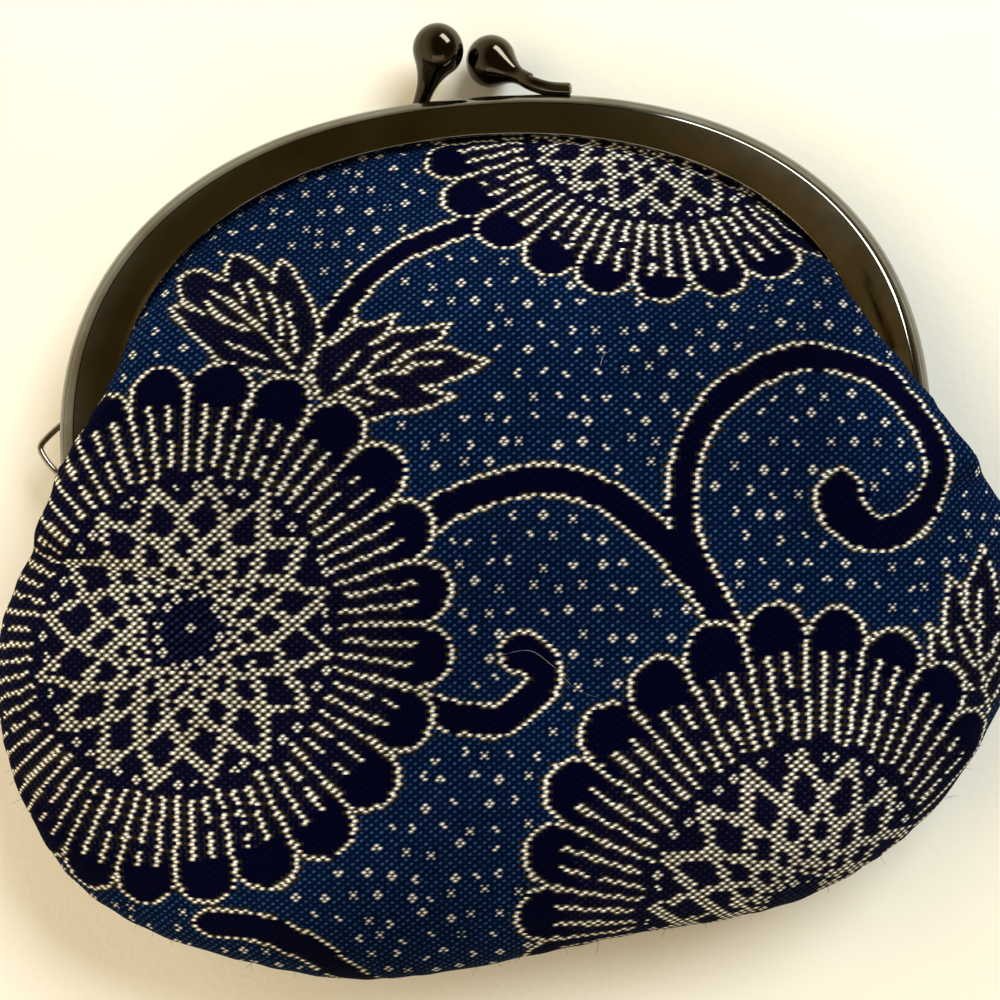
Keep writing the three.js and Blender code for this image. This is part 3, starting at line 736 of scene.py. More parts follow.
class Pattern:
    """Figures of the cloth, one value for each crossing of the weave"""

    def __init__(self, columns, rows, pitch, seed):
        self.pitch = pitch
        self.across, self.down = np.meshgrid(columns, rows)
        self.u = (self.across + 0.5) * pitch[0]
        self.v = (self.down + 0.5) * pitch[1]
        self.point = (self.across + self.down) % 2 == 1
        self.fill = np.full(self.u.shape, GROUND)
        self.pale = np.zeros(self.u.shape, bool)
        self.busy = np.zeros(self.u.shape, bool)
        self.dotted = np.zeros(self.u.shape, bool)
        self.nudge = np.zeros((*self.u.shape, 2))
        self.size = np.ones(self.u.shape)
        self.draws = np.random.default_rng(seed)

    def paint(self, mask, fill):
        self.fill[mask] = fill
        self.pale[mask] = False
        self.nudge[mask] = 0.0
        self.busy |= mask

    def draw(self, mask, off=None):
        """Pale points, drawn towards their line where their distance from it is given"""
        self.pale |= mask
        self.busy |= mask
        if off is not None:
            down, across = np.gradient(off)
            slope = np.stack([across / self.pitch[0], down / self.pitch[1]], axis=-1)
            steepness = np.maximum((slope ** 2).sum(-1, keepdims=True), 0.3)
            pull = -DRAWN_IN * off[..., None] * slope / steepness / np.array(self.pitch)
            self.nudge[mask] = np.clip(pull, -MOST_DRAWN, MOST_DRAWN)[mask]

    def line(self, across, down):
        """Half width of a thin unbroken line of thread points, from the line's normal"""
        return np.hypot(across * self.pitch[0], down * self.pitch[1])

    def away(self, route, widths=None):
        """Distance of each crossing from a line or from the sides of a band, in half lines"""
        best = np.full(self.u.shape, np.inf)
        widths = np.zeros(len(route)) if widths is None else widths
        for start, end, first, last in zip(route, route[1:], widths, widths[1:]):
            step = end - start
            length = max(math.hypot(*step), 1e-6)
            share = ((self.u - start[0]) * step[0] + (self.v - start[1]) * step[1]) / length ** 2
            share = np.clip(share, 0.0, 1.0)
            gap = np.hypot(self.u - start[0] - share * step[0], self.v - start[1] - share * step[1])
            thin = self.line(step[1] / length, step[0] / length)
            np.minimum(best, (gap - mix(first, last, share)) / thin, out=best)
        return best

    def within(self, outline):
        """Crossings inside a closed outline"""
        inside = np.zeros(self.u.shape, bool)
        for (x1, y1), (x2, y2) in zip(outline, np.roll(outline, -1, axis=0)):
            if y1 != y2:
                spans = (y1 > self.v) != (y2 > self.v)
                inside ^= spans & (self.u < (x2 - x1) * (self.v - y1) / (y2 - y1) + x1)
        return inside

    def stem(self, points):
        """Navy band with a pale line along both sides: rows of u, v and half width"""
        route = smooth_route(points, 10)
        gap = self.away(route[:, :2], route[:, 2])
        self.paint(gap < STEM_LINE, NAVY)
        self.draw((gap > 0.0) & (gap < STEM_LINE), (gap - STEM_LINE / 2) * THIN_LINE)

    def bare_stems(self, *stems):
        """Clears the pale lines where stems run into each other"""
        for stem in stems:
            route = smooth_route(stem, 10)
            self.pale[self.away(route[:, :2], route[:, 2]) < -0.2] = False

    def leaf(self, leaf, place, turn, size):
        """Lobed leaf with pale outline and veins, from its base outwards"""
        spin = turned_by(math.radians(turn))

        def laid(points):
            return smooth_route(np.asarray(points, float) * size, 6) @ spin + np.asarray(place)

        lobes = [laid(lobe) for lobe in leaf["lobes"]]
        self.paint(self.within(np.vstack(lobes)), PETAL)
        for lobe in lobes:
            away = self.away(lobe)
            self.draw(away < LEAF_LINE, away * THIN_LINE)
        for vein in leaf["veins"]:
            away = self.away(laid(vein))
            self.draw(away < 1.0, away * THIN_LINE)

    def flower(self, place, turn, star_turn, size=1.0, squeeze=1.0, axis=0.0, slip=(0.0, 0.0)):
        """Chrysanthemum: rounded dark petals round a net of crossing lines

        It is squeezed along an axis, and its middle has slipped to one side of its rim.
        """
        turn, star_turn, axis = (math.radians(angle) for angle in (turn, star_turn, axis))
        du, dv = (self.u - place[0]) / size, (self.v - place[1]) / size
        slipped = np.clip(1.0 - np.hypot(du, dv) / CAP_PLACE, 0.0, 1.0)
        du, dv = du - slip[0] * slipped, dv - slip[1] * slipped
        along = (du * math.cos(axis) + dv * math.sin(axis)) / squeeze
        aside = (dv * math.cos(axis) - du * math.sin(axis)) * squeeze
        out = np.hypot(along, aside)
        bearing = np.arctan2(aside, along) + axis
        angle = bearing - turn
        out = out * (1.0 + 0.008 * np.sin(3 * angle + 1.0) + 0.006 * np.sin(7 * angle))
        petal = np.round(angle * PETALS / (2 * math.pi))
        across = angle * PETALS / (2 * math.pi) - petal
        self.petals(out, bearing, across)
        self.petal_lines(out, bearing, petal, across, size, place)
        self.net(out, bearing, star_turn)

        def laid(reach, bearing):
            spot = np.array([math.cos(bearing - axis) * squeeze, math.sin(bearing - axis) / squeeze])
            spot = reach * spot @ turned_by(axis)
            return np.asarray(place) + size * (spot + np.asarray(slip) * (1.0 - reach / CAP_PLACE))

        self.flower_dots(laid, star_turn)

    def petals(self, out, bearing, across):
        """Dark petals with navy tips, and the pale scalloped line round them"""
        to_middle = across * 2 * math.pi / PETALS
        beyond, beside = out * np.cos(to_middle) - CAP_PLACE, out * np.sin(to_middle)
        from_cap = np.hypot(beyond, beside)
        rim = bearing - to_middle + np.arctan2(beside, beyond)
        rim_line = 2 * PETAL_RIM * self.line(np.cos(rim), np.sin(rim))
        in_petal = (out < CAP_PLACE) | (from_cap < CAP_RADIUS)
        on_rim = (from_cap >= CAP_RADIUS) & (from_cap < CAP_RADIUS + rim_line)
        scallop = on_rim & (out > CAP_PLACE - SCALLOP_OVERLAP)
        self.paint(in_petal | scallop, PETAL)
        self.fill[in_petal & (out > TIP_STARTS - TIP_HOLLOW * (2 * across) ** 2)] = NAVY
        self.draw(scallop, from_cap - CAP_RADIUS - rim_line / 2)

    def petal_lines(self, out, bearing, petal, across, size, place):
        """Pale lines between the petals and two along each, with ends and breaks of their own"""
        thin = self.line(np.sin(bearing), np.cos(bearing))
        wide = 2 * math.pi / PETALS * out * size
        to_edge = (0.5 - np.abs(across)) * wide
        self.draw((to_edge < thin) & (out > LINES_START) & (out < CAP_PLACE + EDGE_OVERLAP), to_edge)
        from_line = (np.abs(across) - LINES_APART) * wide
        number = petal * 2 + (across > 0)
        line_end = LINES_END + 0.8 * np.sin(number * 12.9898 + place[0])
        line_start = LINES_START + 0.35 + 0.35 * np.sin(number * 78.233 + place[1])
        broken = np.where(np.sin(number * 39.425) > 0.35, BREAK_HALF, 0.0)
        break_at = mix(line_start, line_end, 0.6 + 0.12 * np.sin(number * 51.77))
        whole = (out > line_start) & (out < line_end) & (np.abs(out - break_at) >= broken)
        self.draw((np.abs(from_line) < thin) & whole, from_line)

    def flower_dots(self, laid, star_turn):
        """Dots in the middle of the disc, round its edge and between the points of the star"""
        self.dot(*laid(0.0, 0.0), RING)
        for k in range(DISC_DOTS):
            self.dot(*laid(DISC_RING, star_turn + k * 2 * math.pi / DISC_DOTS), RING if k % 3 else BIT)
        for k in range(STAR_POINTS):
            valley = star_turn + (k + 0.5) * 2 * math.pi / STAR_POINTS
            for aside in (-VALLEY_SPREAD, VALLEY_SPREAD):
                self.dot(*laid(VALLEY_DOTS, valley + aside), RING if (k + (aside > 0)) % 4 else BIT)

    def net(self, out, bearing, turn):
        """Star of two crossing families of lines, that winds in towards the middle"""
        wind = 0.5 / math.log(1 / NET_SHRINK)
        wound = np.log(np.maximum(STAR_RADIUS / np.maximum(out, 0.1), 1.0)) * wind
        spokes = STAR_POINTS / (2 * math.pi)
        tips = np.clip((STAR_RADIUS + STAR_TIP - out) / STAR_TIP, 0.0, 1.0)
        taper = tips * np.clip(np.sqrt(out / NET_FULL_AT), NET_THINNEST, 1.0)
        for hand in (1, -1):
            lines = (bearing - turn) * spokes + hand * wound
            gap = np.abs(lines - np.round(lines)) * out / math.hypot(spokes, wind)
            normal = bearing + math.atan2(spokes, -hand * wind)
            self.draw(gap < NET_LINE * taper * self.line(np.cos(normal), np.sin(normal)))
        self.paint(out < DISC_RADIUS, DISC)

    def crossing(self, u, v, margin=0):
        """Row and column of the crossing at a place, or None where that is outside"""
        column = int(math.floor(u / self.pitch[0])) - self.across[0, 0]
        row = int(math.floor(v / self.pitch[1])) - self.down[0, 0]
        rows, columns = self.u.shape
        within = margin <= row < rows - margin and margin <= column < columns - margin
        return (row, column) if within else None

    def dot(self, u, v, kind):
        """Small dot: pale points round a dark one, some of them, or a bright one with faint arms"""
        here = self.crossing(u, v, margin=3)
        if here is None:
            return
        row, column = here
        if bool(self.point[row, column]) != (kind == CROSS):
            column += 1
        spots = [(0, 1), (1, 0), (0, -1), (-1, 0)]
        if kind == CROSS:
            spots = [(0, 0), (1, 1), (1, -1), (-1, 1), (-1, -1)]
        elif kind == BIT:
            first = int(self.draws.integers(4))
            spots = (spots + spots)[first:first + int(self.draws.integers(2, 4))]
        for dr, dc in spots:
            spot = row + dr, column + dc
            self.pale[spot] = True
            self.nudge[spot] = -DOT_DRAWN_IN[0] * dc, -DOT_DRAWN_IN[1] * dr
            self.dotted[spot] = True
            self.size[spot] = DOT_ARM_SIZE if kind == CROSS and dr else DOT_SIZE

    def dots(self):
        """Small dots strewn over the ground that the figures leave free"""
        taken = self.busy.copy()
        for _ in range(2):
            grown = taken.copy()
            grown[1:] |= taken[:-1]
            grown[:-1] |= taken[1:]
            grown[:, 1:] |= taken[:, :-1]
            grown[:, :-1] |= taken[:, 1:]
            taken = grown
        for k, v in enumerate(np.arange(self.v.min(), self.v.max(), DOT_DOWN)):
            for u in np.arange(self.u.min() + (k % 2) * DOT_ACROSS / 2, self.u.max(), DOT_ACROSS):
                du, dv = self.draws.uniform(-DOT_SHIFT, DOT_SHIFT, 2)
                kind = self.draws.choice(list(DOT_KINDS), p=list(DOT_KINDS.values()))
                here = self.crossing(u + du, v + dv)
                if here is not None and not taken[here]:
                    self.dot(u + du, v + dv, kind)

    def colours(self, cloth):
        """Colours of the thread points and the gaps round them, with the points' sizes and shifts"""
        shape = self.u.shape
        faint = mix(np.array(cloth.petal_point), np.array(cloth.ground_point), 0.12)
        tip_point = np.multiply(cloth.navy, 2.2)
        gap = np.array([cloth.ground, cloth.petal, cloth.navy, cloth.navy])[self.fill]
        thread = np.array([cloth.ground_point, cloth.petal_point, tip_point, faint])[self.fill]
        size = np.array(POINT_SIZES)[self.fill]
        thread = thread * self.draws.uniform(*THREAD_TONES, shape)[..., None]
        shown = self.pale & self.point & (self.draws.random(shape) > SKIPPED_POINTS)
        tone = self.draws.uniform(*PALE_TONES, shape)
        tone = tone * mix(SMALL_POINT_TONE, 1.0, ramp(self.size, 0.5, 0.95))
        thread[shown] = (np.array(cloth.cream) * tone[..., None])[shown]
        gap[shown & ~self.dotted] = cloth.shade
        size[shown] = self.size[shown]
        size = size * self.draws.uniform(*POINT_SIZE_SPREAD, shape)
        nudge = self.nudge + self.draws.normal(0.0, POINT_SHIFT, self.nudge.shape)
        return {"thread": thread, "gap": gap, "size": size, "pale": shown, "nudge": nudge}


def front_pattern(pattern):
    """Three flowers, a branching stem, scrolls and leaves, as on the front"""
    for stem in (UPPER_STEM, BRANCH, GREAT_SCROLL, SMALL_SCROLL, LOWER_STEM):
        pattern.stem(stem)
    pattern.bare_stems(BRANCH, GREAT_SCROLL)
    for leaf in FRONT_LEAVES:
        pattern.leaf(*leaf)
    for flower in FRONT_FLOWERS:
        pattern.flower(**flower)
    pattern.dots()


def moved(stem, du, dv, turn):
    """A stem's table, turned and laid elsewhere"""
    table = np.asarray(stem, float)
    return np.column_stack([table[:, :2] @ turned_by(turn) + [du, dv], table[:, 2]])


def back_pattern(pattern):
    """The same figures, strewn another way over the back"""
    branch = moved(BRANCH, 6.0, 10.0, math.pi)
    scroll = moved(GREAT_SCROLL, 6.0, 10.0, math.pi)
    pattern.stem(branch)
    pattern.stem(scroll)
    pattern.bare_stems(branch, scroll)
    pattern.stem(moved(SMALL_SCROLL, 8.0, 26.0, math.pi))
    for leaf in BACK_LEAVES:
        pattern.leaf(*leaf)
    for flower in BACK_FLOWERS:
        pattern.flower(**flower)
    pattern.dots()


# Meshes


def purse_origin():
    """Centre of the clasp's arch in the part's frame, found from the hinge pins"""
    pins = np.array([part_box("left_hinge_pin"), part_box("right_hinge_pin")]).mean(axis=(0, 1))
    return np.array([pins[0] / MM, pins[1] / MM - KNUCKLE_Y * math.cos(LEAN), 0.0])


PURSE_ORIGIN = purse_origin()


def in_part(points):
    """Purse millimetres to the part's metres"""
    return (np.asarray(points, float) + PURSE_ORIGIN) * MM


def new_piece(name, points, faces, material):
    """Mesh object in the part's frame, with smooth shading"""
    mesh = bpy.data.meshes.new(name)
    mesh.from_pydata(in_part(points).tolist(), [], [tuple(int(k) for k in face) for face in faces])
    mesh.update()
    mesh.shade_smooth()
    mesh.materials.append(material)
    piece = bpy.data.objects.new(name, mesh)
    bpy.context.scene.collection.objects.link(piece)
    return piece


def hand_over(piece, slot, *nodes):
    """The piece rides with the purse and stands for these solids"""
    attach(piece, "root")
    if nodes:
        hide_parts(*nodes)


def mark(piece, label, values, domain="POINT", kind="FLOAT", key="value"):
    """Values for the finish to read, one for each point or face"""
    values = np.asarray(values).astype(np.float32).ravel()
    piece.data.attributes.new(label, kind, domain).data.foreach_set(key, values)


class Shape:
    """Points and faces gathered from several swept or turned forms"""

    def __init__(self):
        self.points, self.faces, self.wear_and_painted_light = [], [], []

    def add(self, points, faces, wear_and_painted_light=None):
        start = sum(len(batch) for batch in self.points)
        self.points.append(points)
        self.faces += [tuple(k + start for k in face) for face in faces]
        self.wear_and_painted_light.append(np.zeros(len(points)) if wear_and_painted_light is None else wear_and_painted_light)

    def loft(self, rings, wear_and_painted_light=None):
        """Closed rings joined in a row, with flat ends"""
        count, sides = rings.shape[:2]
        faces = []
        for r in range(count - 1):
            for s in range(sides):
                t = (s + 1) % sides
                faces.append((r * sides + s, r * sides + t, (r + 1) * sides + t, (r + 1) * sides + s))
        faces.append(tuple(range(sides))[::-1])
        faces.append(tuple((count - 1) * sides + s for s in range(sides)))
        self.add(rings.reshape(-1, 3), faces, wear_and_painted_light)

    def tube(self, route, radii, sides):
        """Round rod along a route"""
        rings = np.stack([
            place + radius * ring
            for place, radius, ring in zip(route, radii, self.rings_along(route, sides))])
        self.loft(rings)

    @staticmethod
    def rings_along(route, sides):
        """Unit circles across a route, that don't twist along it"""
        ahead = unit(np.gradient(route, axis=0))
        across = np.cross(ahead[0], [0.0, 0.0, 1.0])
        if np.linalg.norm(across) < 0.1:
            across = np.cross(ahead[0], [0.0, 1.0, 0.0])
        turns = np.linspace(0.0, 2 * math.pi, sides, endpoint=False)
        rings = []
        for direction in ahead:
            across = across - direction * (across @ direction)
            across = across / np.linalg.norm(across)
            up = np.cross(direction, across)
            rings.append(np.cos(turns)[:, None] * across + np.sin(turns)[:, None] * up)
        return rings

    def turned(self, foot, tip, profile, sides):
        """Profile of radius and length, turned round the line from foot towards tip"""
        foot, tip = np.asarray(foot, float), np.asarray(tip, float)
        axis = (tip - foot) / np.linalg.norm(tip - foot)
        route = foot + np.asarray(profile, float)[:, 1:2] * axis
        straight = foot + np.linspace(0.0, 1.0, len(profile))[:, None] * axis
        rings = self.rings_along(straight, sides)
        self.loft(np.stack([p + r * ring for p, (r, _), ring in zip(route, profile, rings)]))


def shoulder_drop(width):
    """Shares of the shoulder's width outwards from the crease, and how far it has dropped at each"""
    share = np.linspace(0.0, 1.0, SHOULDER_STEPS + 1)
    first = np.minimum(share / SHOULDER_TURN, 1.0)
    last = np.maximum((share - SHOULDER_TURN) / (1.0 - SHOULDER_TURN), 0.0) ** 1.5
    tilt = np.radians(SHOULDER_TILTS[0] + SHOULDER_TILTS[1] * first + SHOULDER_TILTS[2] * last)
    steps = np.tan((tilt[1:] + tilt[:-1]) / 2) * width / SHOULDER_STEPS
    return share, np.append(0.0, np.cumsum(steps))


def channel_section(side, clasp):
    """Outline of one half's channel: inset from the outer line, height from the middle plane"""
    width, crease = clasp.shoulder / MM, clasp.crease / MM
    inner, outer = HALVES_GAP / 2, OUTER_FACE
    inner_end = BAND_SIDE - 0.1
    points = [(inner_end, inner)]
    points += [(inset, inner + rise) for inset, rise in INNER_EDGE]
    share, drop = shoulder_drop(width)
    points += [(width * (1 - s), outer - 0.5 * crease - d) for s, d in zip(share[::-1], drop[::-1])]
    points += [(width + CREASE_FLOOR[0], outer - crease), (width + CREASE_FLOOR[1], outer - crease)]
    points.append((width + CREASE_END, outer - 0.004))
    for share in np.linspace(0.0, 1.0, 9)[:-1]:
        swell = clasp.crown / MM * math.sin(math.pi * share)
        points.append((mix(width + BAND_STARTS, BAND_SIDE - HEM, share), outer + swell))
    for turn in np.linspace(0.0, math.pi, 9):
        fold = BAND_SIDE - HEM + HEM * math.sin(turn)
        points.append((fold, outer - (1 - math.cos(turn)) * SHEET / 2))
    points += [(SHEET, outer - SHEET), (SHEET, inner + SHEET)]
    points += [(inner_end, inner + SHEET), (BAND_SIDE, inner + SHEET / 2)]
    return np.array([(inset, side * height) for inset, height in points])


def channel_arch(shape, side, clasp):
    """One half's channel, bent round the arch"""
    section = channel_section(side, clasp)
    places, inward, band = arch_at(even_angles(ARCH_STATIONS))
    scale = (band / BAND_SIDE)[:, None]
    inset = section[None, :, 0] * scale
    rings = np.empty((len(places), len(section), 3))
    rings[..., :2] = places[:, None, :] + inward[:, None, :] * inset[..., None]
    rings[..., 2] = section[None, :, 1]
    lip = ramp(section[:, 0], BAND_SIDE - 0.5, BAND_SIDE - 0.05)
    # Painted highlight: the lip turns pale round a spot on the left side, on top of the rubbed wear all along
    # it
    bright = np.exp(-((places - np.array(PAINTED_HIGHLIGHT_SPOT)) ** 2).sum(axis=1) / PAINTED_HIGHLIGHT_REACH ** 2)
    wear_and_painted_light = (RUBBED_LIP + bright)[:, None] * lip[None, :]
    past_crease = section[:, 0] > clasp.shoulder / MM + CREASE_END - 0.01
    flat = past_crease & (np.abs(section[:, 1]) > OUTER_FACE - 0.2)
    # Painted light: the flat band turns paler towards the right, facing the window
    rubbed_and_painted_light = PAINTED_BAND_LIGHT * ramp(places[:, 0], *PAINTED_BAND_LIGHT_X)
    wear_and_painted_light = np.maximum(wear_and_painted_light, rubbed_and_painted_light[:, None] * flat[None, :])
    if side < 0:
        rings, wear_and_painted_light = rings[:, ::-1], wear_and_painted_light[:, ::-1]
    shape.loft(from_frame(rings)[:, ::-1], wear_and_painted_light[:, ::-1].ravel())


def knuckle(shape, side, x):
    """Hinge barrel under one foot, with the strap that joins it to the leg"""
    half = KNUCKLE_LENGTH / 2
    bore, rim = PIN_RADIUS + PIN_CLEARANCE, KNUCKLE_RADIUS - KNUCKLE_RIM
    profile = [
        (bore, 0.0), (rim, 0.0), (KNUCKLE_RADIUS, KNUCKLE_RIM),
        (KNUCKLE_RADIUS, KNUCKLE_LENGTH - KNUCKLE_RIM), (rim, KNUCKLE_LENGTH),
        (bore, KNUCKLE_LENGTH), (bore, 0.0),
    ]
    foot = from_frame([[x - half, KNUCKLE_Y, 0.0]])[0]
    shape.turned(foot, foot + [1.0, 0.0, 0.0], profile, 32)
    top, bottom = -LEG_DROP + STRAP_IN_LEG, KNUCKLE_Y + KNUCKLE_RADIUS - STRAP_IN_KNUCKLE
    low, high = STRAP_HEIGHTS
    strap = np.array([
        [[x + sx * half, y, side * z] for sx, z in ((-1, low), (1, low), (1, high), (-1, high))]
        for y in (bottom, top)])
    shape.loft(from_frame(strap if side < 0 else strap[:, ::-1]))


def teardrop_profile(stem):
    """Radius and length along a knob: thin foot, hollow flank that runs into the ball, and the ball"""
    rows = [(0.02, 0.0), (NECK_RADIUS * 0.8, 0.0), (NECK_RADIUS, 0.12)]
    join = math.radians(BALL_JOIN)
    start, end = FLANK_STARTS * stem, stem - BALL_RADIUS * math.sin(join)
    first, last = NECK_RADIUS, BALL_RADIUS * math.cos(join)
    for s in np.linspace(0.0, 1.0, 25):
        radius = (
            (2 * s ** 3 - 3 * s ** 2 + 1) * first + (3 * s ** 2 - 2 * s ** 3) * last
            + (s ** 3 - s ** 2) * (end - start) * math.tan(join))
        rows.append((radius, mix(start, end, s)))
    for turn in np.linspace(-join, math.pi / 2 - 0.01, 29)[1:]:
        rows.append((BALL_RADIUS * math.cos(turn), stem + BALL_RADIUS * math.sin(turn)))
    return rows


def teardrop(shape, foot, ball):
    foot, ball = from_frame([foot])[0], from_frame([ball])[0]
    shape.turned(foot, ball, teardrop_profile(np.linalg.norm(ball - foot)), 48)


def finish_metal(shape, name, material, stain=None):
    """Metal piece with its rubbed edges, a painted highlight on the left lip, painted light on the band's
    right side, stains and knobs marked on its points
    """
    points = np.vstack(shape.points)
    piece = new_piece(name, points, shape.faces, material)
    piece.data.set_sharp_from_angle(angle=math.radians(SHARP_EDGE))
    # Rubbed edges together with the painted highlight on the left lip and the painted light on the band
    mark(piece, "rubbed_and_painted_light", np.concatenate(shape.wear_and_painted_light))
    mark(piece, "stained", np.zeros(len(points)) if stain is None else stain(points))
    mark(piece, "knob", ramp(points[:, 1] - FRAME_RISE, *KNOB_DARKENS))
    return piece


# Materials


class Finish:
    """A node material, with short calls to add and join its nodes"""

    def __init__(self, name):
        self.material = bpy.data.materials.new(name)
        self.material.use_nodes = True
        self.nodes = self.material.node_tree.nodes
        self.links = self.material.node_tree.links
        self.shader = self.nodes["Principled BSDF"]

    def add(self, kind, **settings):
        node = self.nodes.new(kind)
        for key, value in settings.items():
            setattr(node, key, value)
        return node

    def put(self, socket, value):
        if isinstance(value, bpy.types.NodeSocket):
            self.links.new(value, socket)
        else:
            socket.default_value = value

    def math(self, operation, first, second):
        node = self.add("ShaderNodeMath", operation=operation)
        self.put(node.inputs[0], first)
        self.put(node.inputs[1], second)
        return node.outputs[0]

    def noise(self, vector, scale, detail=3.0, roughness=0.5):
        node = self.add("ShaderNodeTexNoise")
        self.put(node.inputs["Vector"], vector)
        node.inputs["Scale"].default_value = scale
        node.inputs["Detail"].default_value = detail
        node.inputs["Roughness"].default_value = roughness
        return node.outputs["Fac"]

    def span(self, value, low, high, start, end, smooth=False):
        node = self.add("ShaderNodeMapRange", interpolation_type="SMOOTHSTEP" if smooth else "LINEAR")
        self.put(node.inputs["Value"], value)
        for key, number in (("From Min", low), ("From Max", high), ("To Min", start), ("To Max", end)):
            node.inputs[key].default_value = number
        return node.outputs["Result"]

    def blend(self, share, first, second, blend_type="MIX"):
        node = self.add("ShaderNodeMix", data_type="RGBA", blend_type=blend_type)
        self.put(node.inputs[0], share)
        self.put(node.inputs[6], first)
        self.put(node.inputs[7], second)
        return node.outputs[2]

    def bump(self, height, distance, strength):
        node = self.add("ShaderNodeBump")
        self.put(node.inputs["Height"], height)
        node.inputs["Distance"].default_value = distance
        node.inputs["Strength"].default_value = strength
        return node.outputs["Normal"]

    def place(self, scale=None):
        where = self.add("ShaderNodeTexCoord").outputs["Object"]
        if scale is None:
            return where
        mapping = self.add("ShaderNodeMapping")
        self.put(mapping.inputs["Vector"], where)
        mapping.inputs["Scale"].default_value = scale
        return mapping.outputs["Vector"]

    def attribute(self, name, output="Color"):
        return self.add("ShaderNodeAttribute", attribute_name=name).outputs[output]


def opaque(colour):
    return (*colour, 1.0)


def point_shape(finish, across, down, pitch, tilt, length, width):
    """Squared distance from the middle of a slanting thread point, 1 on its edge"""
    turn = math.radians(tilt)
    along = finish.math("ADD", finish.math("MULTIPLY", across, pitch[0] * math.cos(turn) / length),
                        finish.math("MULTIPLY", down, pitch[1] * math.sin(turn) / length))
    over = finish.math("SUBTRACT", finish.math("MULTIPLY", down, pitch[1] * math.cos(turn) / width),
                       finish.math("MULTIPLY", across, pitch[0] * math.sin(turn) / width))
    return finish.math("ADD", finish.math("MULTIPLY", along, along), finish.math("MULTIPLY", over, over))


def cloth_finish(cloth):
    """Slanting thread points, large and pale in the figures and small and dim elsewhere"""
    finish = Finish("indigo_weave")
    split = finish.add("ShaderNodeSeparateXYZ")
    finish.put(split.inputs[0], finish.add("ShaderNodeUVMap", uv_map="weave").outputs["UV"])
    pitch = cloth.pitch_across / MM, cloth.pitch_down / MM
    pale = finish.attribute("pale", "Fac")
    dim_point = point_shape(finish, *split.outputs[:2], pitch, **DIM_POINT)
    pale_point = point_shape(finish, *split.outputs[:2], pitch, **PALE_POINT)
    out = finish.math("ADD", finish.math("MULTIPLY", pale_point, pale),
                      finish.math("MULTIPLY", dim_point, finish.math("SUBTRACT", 1.0, pale)))
    size = finish.attribute("point_size", "Fac")
    out = finish.math("DIVIDE", out, finish.math("MULTIPLY", size, size))
    thread = finish.span(out, 0.6, 1.7, 1.0, 0.0, smooth=True)
    fuzz = finish.math("MULTIPLY", finish.span(out, 1.0, 7.0, 0.32, 0.0, smooth=True), pale)
    thread = finish.math("MAXIMUM", thread, fuzz)
    where = finish.place()
    fade = finish.span(finish.noise(where, 38.0, 2.0), 0.32, 0.68, 0.75, 1.25)
    fibre = finish.noise(where, 5200.0, 2.0, 0.6)
    colour = finish.blend(thread, finish.attribute("gap_colour"), finish.attribute("thread_colour"))
    tint = finish.add("ShaderNodeCombineColor")
    lift = finish.math("MULTIPLY", fade, finish.span(fibre, 0.3, 0.7, 0.85, 1.15))
    for k in range(3):
        finish.put(tint.inputs[k], lift)
    colour = finish.blend(1.0, colour, tint.outputs[0], "MULTIPLY")
    shader = finish.shader
    finish.put(shader.inputs["Base Color"], colour)
    finish.put(shader.inputs["Roughness"], finish.span(thread, 0.0, 1.0, 0.95, 0.75))
    height = finish.math("ADD", thread, finish.math("MULTIPLY", fibre, 0.25))
    finish.put(shader.inputs["Normal"], finish.bump(height, 0.00012, 0.6))
    shader.inputs["Specular IOR Level"].default_value = 0.02
    shader.inputs["Sheen Weight"].default_value = 0.01
    shader.inputs["Sheen Roughness"].default_value = 0.5
    shader.inputs["Sheen Tint"].default_value = (0.35, 0.5, 0.8, 1.0)
    return finish.material


def fibre_finish(cloth):
    """Stretches of blue and of dull cream along the loose fibres"""
    finish = Finish("loose_fibre")
    streak = finish.span(finish.noise(finish.place(), 260.0, 2.0), 0.4, 0.6, 0.0, 1.0)
    dull_cream = opaque([0.5 * value for value in cloth.cream])
    finish.put(finish.shader.inputs["Base Color"],
               finish.blend(streak, opaque(cloth.ground_point), dull_cream))
    finish.put(finish.shader.inputs["Roughness"], finish.span(streak, 0.0, 1.0, 0.6, 0.85))
    return finish.material


def metal_finish(name, clasp, plate, tarnish, shine):
    """Dark plate with dull patches, rubbed edges, a painted highlight and painted light in pale metal, fine
    scratches and brown stains
    """
    finish = Finish(name)
    where = finish.place()
    patches = finish.span(finish.noise(where, 95.0, 5.0, 0.6), 0.38, 0.66, 0.0, 1.0, smooth=True)
    colour = finish.blend(patches, opaque(plate), opaque(tarnish))
    colour = finish.blend(finish.attribute("knob", "Fac"), colour, opaque(clasp.knob))
    # Pale metal where edges are rubbed, and as the painted highlight and the painted light
    rubbed_and_painted_light = finish.math("MULTIPLY", finish.attribute("rubbed_and_painted_light", "Fac"),
                         finish.span(finish.noise(where, 260.0, 3.0), 0.35, 0.65, 0.55, 1.0))
    colour = finish.blend(rubbed_and_painted_light, colour, opaque(clasp.bare_metal_and_painted_light))
    stained = finish.math("MULTIPLY", finish.attribute("stained", "Fac"),
                          finish.span(finish.noise(where, 700.0, 3.0), 0.3, 0.6, 0.5, 1.0))
    colour = finish.blend(stained, colour, opaque(clasp.rust))
    shader = finish.shader
    finish.put(shader.inputs["Base Color"], colour)
    shader.inputs["Metallic"].default_value = 1.0
    finish.put(shader.inputs["Roughness"], finish.span(patches, 0.0, 1.0, shine, shine + 0.04))
    scratches = finish.noise(finish.place((160.0, 2200.0, 900.0)), 1.0, 2.0)
    dents = finish.noise(where, 120.0, 2.0)
    height = finish.math("ADD", dents, finish.math("MULTIPLY", scratches, 0.05))
    finish.put(shader.inputs["Normal"], finish.bump(height, 0.00008, 0.2))
    return finish.material


